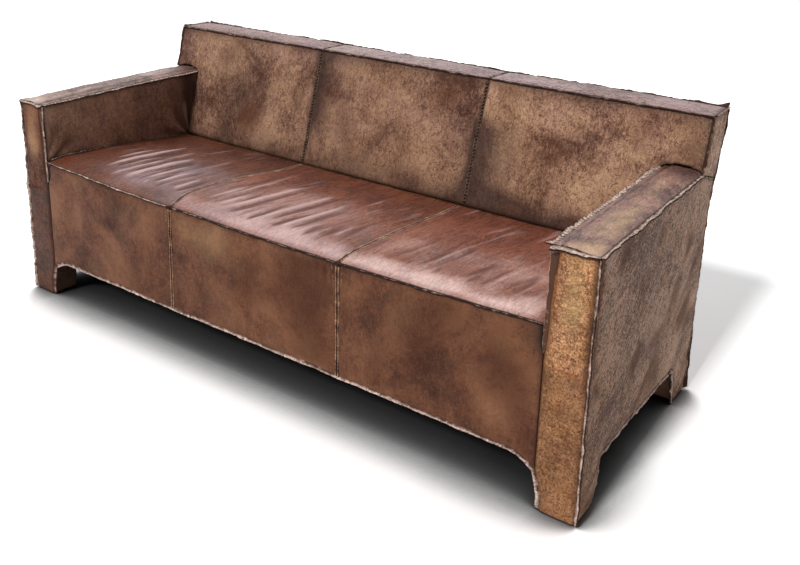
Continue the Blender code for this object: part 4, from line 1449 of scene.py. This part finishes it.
def hem_seams():
    """The hem runs up the left foot's inner edge, along the apron and down the other foot."""
    foot = [(-foot_inner(z), FRONT + 0.001, z)
            for z in spread(FOOT_HEM + 0.002, HEM - HEM_DROP, 10)]
    hem = [(x, FRONT + 0.001, hem_line(x)) for x in spread(-ARM_INNER, ARM_INNER, 80)]
    rest = hem + [(-x, y, z) for x, y, z in reversed(foot[:-1])]
    runs = [Run(points, beside(0, -1, 0), even(0.0085), 0.0014, wide=-0.9, bare=bare, torn=0.4)
            for points, bare in ((foot, 0.45), (rest, 1.0))]
    seam_piece("front_hem", runs, LIP, "hem_edge", 31)
    rear = [(x, REAR_FACE - 0.001, HEM) for x in spread(-HALF + 0.1, HALF - 0.1, 20)]
    seam_piece("rear_hem", [Run(rear, facing(0, 0.1, -1), even(0.0045), 0.0010, wide=0.7)],
               FIN, "hem_edge", 33)


def notch_seams(name, side):
    """The hem of an arm's outer panel, and a torn flap where it falls to the rear foot."""
    ys = joined(spread(FRONT_FOOT - 0.0005, FRONT_FOOT + FRONT_CURVE, 16),
                spread(FRONT_FOOT + FRONT_CURVE, REAR_FOOT - REAR_CURVE, 20),
                spread(REAR_FOOT - REAR_CURVE, REAR_FOOT + 0.0005, 16))
    points = [(side * (HALF - 0.001), y, max(notch_line(y), FOOT_HEM + 0.002)) for y in ys]
    flap = [(side * HALF, y, notch_line(y) + 0.003)
            for y in spread(REAR_FOOT - 0.075, REAR_FOOT - 0.012, 12)]
    seam_piece(f"side_hem_{name}",
               [Run(points, beside(1, 0, 0), even(0.0115), 0.0028, ears=(0.002, 0.004), wide=-side),
                Run(flap, beside(side, 0, 0.5), (0.008, 0.024), 0.0060, wide=-side)],
               LIP, "hem_edge", 41 + side)


def back_seams(height):
    """The seams round the back's top, down its front corners and down its rear ones."""
    reach, z = HALF - GROOVE, BACK_HEIGHT - GROOVE
    front, rear = face_of_back(BACK_HEIGHT) + GROOVE, REAR_TOP - GROOVE
    ledge = [Run([(-reach, front, z), (reach, front, z)], facing(0, -1, 0.10),
                 even(0.58 * height), 0.0014, ears=(0.003, 0.004), wide=-0.85, bare=0.25,
                 torn=0.5)]
    seam_piece("top_flange", ledge, LIP, "flat_edge", 55)
    runs = [Run([(-reach, rear, z), (reach, rear, z)], facing(0, 0.8, 1), even(0.70 * height),
                0.0030, ears=(0.004, 0.012), bare=0.40)]
    for side in (-1, 1):
        runs.append(Run([(side * reach, front, z), (side * reach, rear, z)],
                        facing(side, 0, 0.6), even(0.7 * height), 0.0014, ears=(0.003, 0)))
        face = [(side * reach, face_of_back(h) + GROOVE, h)
                for h in spread(SHOULDER + 0.004, z, 6)]
        runs.append(Run(face, facing(side, -1, 0), even(0.5 * height), 0.0026, bare=0.35))
        tail, foot = ([(side * reach, rear_of_back(h) - GROOVE, h) for h in heights]
                      for heights in (spread(FOOT_HEM + 0.004, z, 20),
                                      spread(FOOT_HEM + 0.003, 0.36, 16)))
        runs.append(Run(tail, facing(side, 1, 0), even(0.6 * height), 0.0016))
        runs.append(Run(foot, facing(0.7 * side, 1, 0), (0.0175, 0.0030), 0.0016, bare=0,
                        torn=0.3))
    seam_piece("back_seams", runs, FIN, "turned_edge", 51)


# How a kind of flat seam faces, how high, wavy and wide its folded edges are and how pale
# their painted highlight is, and the distances of its stitch rows from the middle with their
# pitch, length, slant and lift.
Welt = namedtuple("Welt", "out height ruffle wide bare slot rows pitch length slant lift",
                  defaults=((), 0, 0, 0, 0))
WELTS = {
    "seat": Welt((0, 0, 1), 0.0019, 0.0002, 1.0, 0.75, "leather_seat", (-0.0043, 0.0043),
                 0.0090, 0.0068, 0.0, 0.0019),
    "apron": Welt((0, -1, 0), 0.0024, 0.0004, 1.0, 1.0, "leather_body", (-0.0043, 0.0043),
                  0.0095, 0.0070, 0.0, 0.0022),
    "back": Welt((0, -1, RAKE), 0.0016, 0.0003, 1.25, 1.0, "leather_body", (0.0,),
                 0.0105, 0.0110, 0.85, 0.0014),
    "top": Welt((0, 0, 1), 0.0013, 0.0003, 0.8, 1.0, "leather_top"),
}


def welt_paths(side):
    """The middle lines of the flat seams on one side of the sofa."""
    x = side * SEAT_SEAM
    seat = [on_seat(x, y, LIFT - 0.0012) for y in spread(FRONT + 0.005, SEAT_REAR - 0.012, 30)]
    apron = [on_front(x, z, LIFT - 0.0008)
             for z in spread(seat_height(x, FRONT) - 0.007, HEM + 0.001, 12)]
    x = side * BACK_SEAM
    back = [on_back(x, z, LIFT - 0.0010)
            for z in spread(SEAT_REAR_HEIGHT + 0.014, BACK_HEIGHT - 0.007, 12)]
    front = face_of_back(BACK_HEIGHT)
    depth = REAR_TOP - front - 0.014
    top = [on_top(x - 0.012 * math.sin(math.pi * t), front + 0.007 + depth * t, LIFT - 0.0008)
           for t in spread(0.0, 1.0, 8)]
    return {"seat": seat, "apron": apron, "back": back, "top": top}


def puckers(side):
    """Two short ridges that spread beside the top of an apron seam."""
    high = seat_height(side * SEAT_SEAM, FRONT) - 0.008
    paths = [[on_front(side * SEAT_SEAM + off * (0.0165 - 0.009 * t), high - 0.11 * t,
                       LIFT - 0.0012) for t in spread(0.0, 1.0, 8)] for off in (-1, 1)]
    return [Run(path, facing(0, -1, 0), (0.0022, 0.0008), 0.0004, wide=0.35) for path in paths]


def welts():
    """Flat seams between the thirds: two folded edges side by side, sewn down."""
    for k, (name, welt) in enumerate(WELTS.items()):
        runs, rows = [], []
        for side in (-1, 1):
            path = welt_paths(side)[name]
            runs.append(Run(path, facing(*welt.out), even(welt.height), welt.ruffle,
                            wide=welt.wide, bare=welt.bare))
            if name == "apron":
                runs += puckers(side)
            rows += [Row(path, Vector(welt.out).normalized(), off, welt.pitch, welt.length,
                         welt.slant, welt.lift) for off in welt.rows]
        seam_piece(f"{name}_welts", runs, WELT, f"{name}_seam_edge", 61 + 9 * k)
        if rows:
            stitches(f"{name}_stitches", rows, f"{name}_thread")
    for name, side in SIDES.items():
        end = (side * HALF, rear_of_back(CORNER_HEIGHT) - 0.006, CORNER_HEIGHT + 0.002)
        start = (side * HALF, BROW - 0.004, arm_height(BROW) - 0.001)
        run = Run([start, end], facing(side, 0, 0), even(0.0016), 0.0003, wide=0.8)
        seam_piece(f"end_welt_{name}", [run], WELT, "end_seam_edge", 91 + side)


# ------------------------ stage

CAMERA_PLACE = Vector((1.5725, -2.0150, 1.3489))
CAMERA_AZIMUTH, CAMERA_ELEVATION, CAMERA_ROLL = 34.094, 19.499, 2.381
CAMERA_LENS, CAMERA_SHIFT = 40.238, -0.103125
SOFT_BOX_PLACE, SOFT_BOX_TARGET = (-2.2, 2.7, 3.9), (0, 0, 0.4)
FRONT_LIGHT_PLACE, FRONT_LIGHT_ANGLE = (-0.35, -4.6, 3.83), 9
PAPER_REACH = 14               # from the middle of the paper floor to its edges
# How much of the sky the floor sees, and how bright it then looks.
FLOOR_SHADES = ((0.22, 0.012), (0.42, 0.055), (0.54, 0.165), (0.62, 0.35), (0.68, 0.62),
                (0.74, 0.92), (0.78, 1.0))


def placed(name, data, place):
    """Puts an object on the stage, instead of one from an earlier run."""
    old = bpy.data.objects.get(name)
    if old:
        bpy.data.objects.remove(old)
    made = bpy.data.objects.new(name, data)
    bpy.context.scene.collection.objects.link(made)
    made.matrix_world = place
    return made


def camera():
    """The camera looks down at the sofa from its front right."""
    data = bpy.data.cameras.new("camera")
    data.lens, data.shift_y = CAMERA_LENS, CAMERA_SHIFT
    data.sensor_width = 36.0
    az, el, roll = (math.radians(v) for v in (CAMERA_AZIMUTH, CAMERA_ELEVATION, CAMERA_ROLL))
    back = Vector((math.sin(az) * math.cos(el), -math.cos(az) * math.cos(el), math.sin(el)))
    right = Vector((math.cos(az), math.sin(az), 0))
    up = back.cross(right)
    across = right * math.cos(roll) + up * math.sin(roll)
    upward = up * math.cos(roll) - right * math.sin(roll)
    turn = Matrix((across, upward, back)).transposed()
    bpy.context.scene.camera = placed("camera", data,
                                      Matrix.Translation(CAMERA_PLACE) @ turn.to_4x4())


def aimed(name, data, place, target):
    """Puts a lamp on the stage and points it at its target."""
    turn = (Vector(target) - Vector(place)).to_track_quat("-Z", "Y")
    placed(name, data, Matrix.Translation(place) @ turn.to_matrix().to_4x4())


def lamps(stage):
    """A broad soft box behind and to the left, and an even soft light from the front."""
    data = bpy.data.lights.new("soft_box", "AREA")
    data.shape, data.size, data.size_y = "RECTANGLE", 3.2, 3.0
    data.energy = stage.soft_box
    aimed("soft_box", data, SOFT_BOX_PLACE, SOFT_BOX_TARGET)
    data = bpy.data.lights.new("front_light", "SUN")
    data.energy, data.angle = stage.front_light, math.radians(FRONT_LIGHT_ANGLE)
    aimed("front_light", data, FRONT_LIGHT_PLACE, (0, 0, 0))


def any_ray(add, *kinds):
    """1 for rays of these kinds and 0 for the rest, such as the light on the sofa."""
    path = add("LightPath")
    seen = path.outputs[kinds[0]]
    for kind in kinds[1:]:
        seen = add("Math", {0: seen, 1: path.outputs[kind]}, operation="MAXIMUM")
    return seen


def white_backdrop(strength):
    """The world lights at the given strength, and shows white to the eye and in gloss."""
    world = bpy.data.worlds.get("studio") or bpy.data.worlds.new("studio")
    bpy.context.scene.world = world
    world.use_nodes = True
    world.node_tree.nodes.clear()
    add = partial(add_node, world.node_tree)
    seen = any_ray(add, "Is Camera Ray", "Is Glossy Ray", "Is Transmission Ray")
    level = add("MapRange", {"Value": seen, "To Min": strength, "To Max": 1.0})
    light = add("Background", {"Color": (1, 1, 1, 1), "Strength": level})
    add("OutputWorld", {"Surface": light})


def floor():
    """A pale paper sweep. To the eye it is pure white where light reaches it, and it
    darkens softly where the sofa keeps the light off."""
    bm = bmesh.new()
    bmesh.ops.create_grid(bm, x_segments=1, y_segments=1, size=PAPER_REACH)
    mesh = bpy.data.meshes.new("floor")
    bm.to_mesh(mesh)
    bm.free()
    made = placed("floor", mesh, Matrix())
    add, here = new_material("white_paper")
    mesh.materials.append(bpy.data.materials["white_paper"])
    seen = any_ray(add, "Is Camera Ray", "Is Glossy Ray")
    place = add("SeparateXYZ", {0: here})
    reach = add("MapRange", {"Value": place.outputs["Y"], "From Min": -0.30, "From Max": 0.35,
                             "To Min": 0.32, "To Max": 0.20})
    open_sky = add("AmbientOcclusion", {"Distance": reach}, samples=32)
    ramp = add("ValToRGB", {"Fac": open_sky.outputs["AO"]}, stops=[
        (seen_sky, (grey, grey, grey, 1.0)) for seen_sky, grey in FLOOR_SHADES])
    dimmed = add("Math", {0: ramp, 1: 1.60}, operation="MULTIPLY")
    level = add("Mix", {"Factor": seen, "A": 0.88, "B": dimmed}, data_type="FLOAT")
    paper = add("CombineXYZ", {0: level, 1: level, 2: level})
    shader = add("BsdfDiffuse", {"Color": paper})
    add("OutputMaterial", {"Surface": shader})


# ------------------------ the hides

# Lighter and darker thirds, from left to right.
SEAT_TONES = (0.81, 0.70, 0.56), (1.37, 1.25, 1.07), (1.47, 1.36, 1.32)
BACK_TONES = (1.17, 1.20, 1.25), (1.09, 1.09, 1.11), (1.41, 1.46, 1.46)
TOP_TONES = (0.96, 0.73, 0.72), (1.15, 1.04, 1.06), (1.36, 1.25, 1.31)


def leathers(colours):
    """Every hide on the sofa has taken its own wear, so most panels have their own. The arm
    insides and the rear leg wraps are painted lighter against the shade they stand in, and
    the front leg wraps painted darker as shade.
    """
    flat, across = (math.pi / 2, 0, 0), (0, math.pi / 2, 0)
    body, sides, tops = colours.body, colours.sides, colours.arm_tops
    hides = [
        Hide("brown_leather", shade(body, 0.90, 0.88, 0.76), 5, 1.8, 0.8, 0.5, 0.7, 0.12, 0.22,
             0.22, 1.5, gloss=0.55, deep=(0.45, 0.38, 0.36), pale=(1.55, 1.75, 1.65)),
        Hide("rear_brown_leather", shade(body, 1.3), 47, 1.7, 1.0, 0.6, 0.6, 0.25, 0.2, 0.35),
        # The arm insides are the body colour painted lighter against the shade they stand in, and
        # their bloom a painted highlight on the creases.
        Hide("dark_leather", shade(body, 2.83, 4.5, 5.6), 31, 0.9, 0.8, 0.6, 0.8, 0.15, 0.30,
             0.30, 1.6, bloom="#b0948a"),
        # The front leg wraps are the body colour painted darker as the shade under the arms, and
        # the rear ones painted lighter against the shade there.
        Hide("leg_leather_front", shade(body, 0.36, 0.42, 0.42), 53, 1.4, 1.0, 0.5, 0.6, 0.2, 0.2,
             0.35),
        Hide("leg_leather_rear", shade(body, 2.4, 3.2, 3.4), 57, 1.4, 1.0, 0.5, 0.6, 0.2, 0.2,
             0.35),
        Hide("beige_leather", shade(sides, 2.61, 3.19, 3.63), 43, 1.2, 1.2, 0.8, 1.4, 0.4, 0.5,
             0.25, 2.5, gloss=0.58),
        # On the arm tops the worn colour serves both the tan patch worn through the wax and the
        # painted highlights on the crown.
        Hide("waxed_leather_left", shade(tops, 1.31, 1.35, 1.40), 21, 2.2, 1.6, 1.4, 1.4, 0.3,
             0.4, 0.3, 4.0, flat, 0.32, 0.6, worn="#dcc2b4"),
        Hide("waxed_leather_right", shade(tops, 1.52, 1.42, 1.52), 23, 2.6, 1.5, 1.6, 1.2, 0.3,
             0.4, 0.3, 4.5, flat, 0.28, 0.7, worn="#dcb48e"),
        Hide("arm_front_leather_left", shade(body, 0.87, 0.73, 0.56), 27, 1.4, 1.2, 0.6, 1.5,
             0.4, 0.4, 0.35, 2.0),
        # Its worn colour also paints the highlight high in the middle of the arm's front.
        Hide("arm_front_leather_right", shade(colours.arm_fronts, 1.22, 1.15, 1.18), 29, 1.2,
             0.9, 0.6, 1.6, 0.15, 0.75, 0.10, 4.5, grime="#6e482e", worn="#d2aa76",
             deep=(0.50, 0.36, 0.28)),
    ]
    for i, which in enumerate(THIRDS):
        hides += [
            # On the seat the worn colours are painted sheen, from lilac on the left to pinkish
            # white on the right.
            Hide(f"chestnut_leather_{which}", shade(colours.seat, *SEAT_TONES[i]),
                 i * 1.7, 1.4, 1.1, 1.9, 0.5, 0.15, 0.30, 0.12, 3.4, flat, 0.33, 0.55,
                 worn=("#b2989f", "#dfb9b6", "#f6d0c8")[i], bloom="#e2bebb",
                 deep=(0.42, 0.36, 0.46), pale=(1.40, 1.70, 1.75)),
            # Their grime colour also paints the grey shade beside the back's seams.
            Hide(f"tan_leather_{which}", shade(colours.back, *BACK_TONES[i]),
                 9 + i * 2.1, 1.9, 0.50, 1.25, 0.8, 0.15, 0.80, 0.06, 2.4, grime="#38231d",
                 deep=(0.40, 0.29, 0.27), pale=(1.45, 1.65, 1.60)),
            Hide(f"rubbed_leather_{which}", shade(colours.back_top, *TOP_TONES[i]),
                 15 + i, 1.5, 1.2, 2.4, 2.2, 0.15, 0.3, 0.3, 3.0, across, 0.38, 0.5)]
    for i, name in enumerate(SIDES):
        hides.append(Hide(f"grey_brown_leather_{name}", shade(sides, 1.42, 1.48, 1.42), 35 + i * 3,
                          1.8, 1.1, 2.1, 2.6, 0.45, 0.55, 0.2, 3.0, (0.75, 0, 0), 0.52,
                          grime="#43322c", worn="#b0937e"))
    for hide in hides:
        leather(hide)


def other_materials(colours):
    """Raw edges, threads, cloths, foam, nylon, wire and timber."""
    # The roots of the raw edges are painted dark as the shade deep in the turned-out seams.
    for name, light, root in (("split_suede", 0.6, None), ("turned_edge", 1.0, "#3a241a"),
                              ("folded_edge", 1.2, "#54382a"), ("flat_edge", 1.1, "#2e1913"),
                              ("hem_edge", 1.0, "#4a3228")):
        raw_edge(name, shade(colours.raw_edge, light), root)
    # On the flat seams the pale colour is a painted highlight on the folded ridges, and the root a
    # painted shade in the sewn groove.
    for name, pale, root in (("seat", "#e4c0ac", "#5e382c"), ("apron", "#a27c60", "#38211a"),
                             ("back", "#5e4638", "#1a100d"), ("top", "#8f7c76", "#4a3a36"),
                             ("end", "#b89c84", "#2c1e16")):
        raw_edge(f"{name}_seam_edge", linear(pale), root)
    for name, factors in (("seat", (1.9, 2.1, 2.6)), ("apron", (1.1,)), ("back", (0.62,))):
        linen_thread(f"{name}_thread", shade(colours.thread, *factors))
    woven("black_lining_cloth", "#1b1a1a", "#262424", 0.0012, 0.9)
    woven("woven_jute", "#8f7448", "#a98c5c", 0.0035, 0.9)
    foam_rubber()
    nylon()
    galvanised_wire()
    for axis, scale in zip("xyz", ((0.05, 1, 1), (1, 0.05, 1), (1, 1, 0.05))):
        beech(f"beech_along_{axis}", scale)


def finish_frame():
    """Gives the timber, webbing and glides that no soft piece replaces their real materials."""
    made_of = {"beech_timber": None, "jute_webbing": "woven_jute", "foot_plastic": "moulded_nylon"}
    for name, node in NODES.items():
        if node.hide_render:
            continue
        kind = node.data.materials[0].name
        low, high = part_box(name)
        size = list(high - low)
        along = f"beech_along_{'xyz'[size.index(max(size))]}"
        node.data.materials[0] = bpy.data.materials[made_of[kind] or along]


# ------------------------ the add-on

def length(name, default, description):
    return FloatProperty(name=name, default=default, description=description, min=0.0,
                         subtype="DISTANCE", unit="LENGTH", precision=4)


def power(name, default, description):
    return FloatProperty(name=name, default=default, description=description, min=0.0,
                         unit="POWER")


def tint(name, code, description):
    return FloatVectorProperty(name=name, default=linear(code), description=description,
                               subtype="COLOR", size=3, min=0.0, max=1.0)


class SofaShape(bpy.types.PropertyGroup):
    """Sizes that change how worn the sofa looks."""
    fold_height: length("Fold height", 0.0055, "Height of the strongest sat-in fold of the seat")
    edge_height: length("Edge height", 0.0105, "How far the turned-out seam edges stand proud")


class SofaColours(bpy.types.PropertyGroup):
    """Middle colour of each family of hides."""
    body: tint("Body", "#673f2e", "Apron, rear, legs and the insides of the arms")
    back: tint("Back", "#88634d", "Front of the back")
    back_top: tint("Top of the back", "#7c645e", "Rubbed top of the back")
    seat: tint("Seat", "#774330", "Seat panels")
    arm_tops: tint("Arm tops", "#836357", "Tops of the arms")
    arm_fronts: tint("Arm front", "#b3845a", "Golden front of the right arm")
    sides: tint("Sides", "#89624b", "Outsides of the arms and the ends of the back")
    raw_edge: tint("Raw edge", "#c0a598", "Cut edges of the turned-out seams")
    thread: tint("Thread", "#b0906f", "Waxed thread of the flat seams")


class SofaStage(bpy.types.PropertyGroup):
    """Lamps around the sofa."""
    soft_box: power("Soft box", 100.0, "Power of the lamp behind and to the left")
    front_light: FloatProperty(name="Front light", default=2.6, min=0.0,
                               description="Strength of the even light from the front")
    surround: FloatProperty(name="Surround", default=0.18, min=0.0,
                            description="Strength of the light from all around")


class SOFA_OT_materials(bpy.types.Operator):
    """Makes the hides, raw edges, threads, cloths, foam, timber and metal"""
    bl_idname = "sofa.materials"
    bl_label = "Materials"

    def execute(self, context):
        leathers(context.scene.sofa_colours)
        other_materials(context.scene.sofa_colours)
        return {"FINISHED"}


class SOFA_OT_construction(bpy.types.Operator):
    """Finishes the timber frame, webbing and glides"""
    bl_idname = "sofa.construction"
    bl_label = "Frame, webbing and glides"

    def execute(self, context):
        finish_frame()
        return {"FINISHED"}


class SOFA_OT_padding(bpy.types.Operator):
    """Builds the foam blocks and waddings"""
    bl_idname = "sofa.padding"
    bl_label = "Padding"

    def execute(self, context):
        padding()
        return {"FINISHED"}


class SOFA_OT_seams(bpy.types.Operator):
    """Builds the turned-out seams and the hems"""
    bl_idname = "sofa.seams"
    bl_label = "Turned-out seams and hems"

    def execute(self, context):
        height = context.scene.sofa_shape.edge_height
        for name, side in SIDES.items():
            arm_seams(name, side, height)
            notch_seams(name, side)
        front_seams(height)
        hem_seams()
        back_seams(height)
        return {"FINISHED"}


class SOFA_OT_welts(bpy.types.Operator):
    """Builds the flat seams between the panels and their stitches"""
    bl_idname = "sofa.welts"
    bl_label = "Flat seams and stitches"

    def execute(self, context):
        welts()
        return {"FINISHED"}


class SOFA_OT_seat(bpy.types.Operator):
    """Lays the three creased panels of the seat"""
    bl_idname = "sofa.seat"
    bl_label = "Seat leather"

    def execute(self, context):
        seat_leather(context.scene.sofa_shape.fold_height)
        return {"FINISHED"}


class SOFA_OT_apron(bpy.types.Operator):
    """Hangs the three panels of the apron"""
    bl_idname = "sofa.apron"
    bl_label = "Apron leather"

    def execute(self, context):
        apron_leather()
        return {"FINISHED"}


class SOFA_OT_back(bpy.types.Operator):
    """Covers the back: front, top, ends and rear"""
    bl_idname = "sofa.back"
    bl_label = "Back leather"

    def execute(self, context):
        back_leather()
        top_leather()
        rear_leather()
        for name, side in SIDES.items():
            end_leather(name, side)
        return {"FINISHED"}


class SOFA_OT_arms(bpy.types.Operator):
    """Covers both arms: top, front, inside and outside"""
    bl_idname = "sofa.arms"
    bl_label = "Arm leather"

    def execute(self, context):
        for name, side in SIDES.items():
            arm_top_leather(name, side)
            arm_front_leather(name, side)
            arm_inner_leather(name, side)
            arm_outer_leather(name, side)
        return {"FINISHED"}


class SOFA_OT_legs(bpy.types.Operator):
    """Wraps the hidden sides of the four legs"""
    bl_idname = "sofa.legs"
    bl_label = "Leg wraps"

    def execute(self, context):
        for name, side in SIDES.items():
            leg_wraps(name, side)
        return {"FINISHED"}


class SOFA_OT_underside(bpy.types.Operator):
    """Staples the black lining cloth under the sofa"""
    bl_idname = "sofa.underside"
    bl_label = "Underside cloth"

    def execute(self, context):
        underside()
        return {"FINISHED"}


class SOFA_OT_stage(bpy.types.Operator):
    """Sets up the floor, the lamps, the white surround and the camera"""
    bl_idname = "sofa.stage"
    bl_label = "Stage"

    def execute(self, context):
        stage = context.scene.sofa_stage
        camera()
        white_backdrop(stage.surround)
        floor()
        lamps(stage)
        context.scene.view_settings.view_transform = "Standard"
        return {"FINISHED"}


STEPS = (SOFA_OT_materials, SOFA_OT_padding, SOFA_OT_seams, SOFA_OT_welts, SOFA_OT_seat,
         SOFA_OT_apron, SOFA_OT_back, SOFA_OT_arms, SOFA_OT_legs, SOFA_OT_underside,
         SOFA_OT_construction, SOFA_OT_stage)
GROUPS = {"sofa_shape": SofaShape, "sofa_colours": SofaColours, "sofa_stage": SofaStage}


class SOFA_PT_pieces(bpy.types.Panel):
    """Lists the settings and the steps in the order in which they run"""
    bl_label = "Worn leather sofa"
    bl_space_type = "VIEW_3D"
    bl_region_type = "UI"
    bl_category = "Sofa"

    def draw(self, context):
        for name, group in GROUPS.items():
            box = self.layout.box()
            for prop in group.__annotations__:
                box.prop(getattr(context.scene, name), prop)
        for step in STEPS:
            self.layout.operator(step.bl_idname)


def register():
    for made in (*GROUPS.values(), *STEPS, SOFA_PT_pieces):
        bpy.utils.register_class(made)
    for name, group in GROUPS.items():
        setattr(bpy.types.Scene, name, PointerProperty(type=group))


def unregister():
    for name in GROUPS:
        delattr(bpy.types.Scene, name)
    for made in reversed((*GROUPS.values(), *STEPS, SOFA_PT_pieces)):
        bpy.utils.unregister_class(made)


def main():
    """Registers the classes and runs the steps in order."""
    register()
    for step in STEPS:
        run = getattr(bpy.ops.sofa, step.bl_idname.split(".")[1])
        if run() != {"FINISHED"}:
            raise RuntimeError(f"{step.bl_idname} did not finish")


if __name__ == "__main__":
    main()
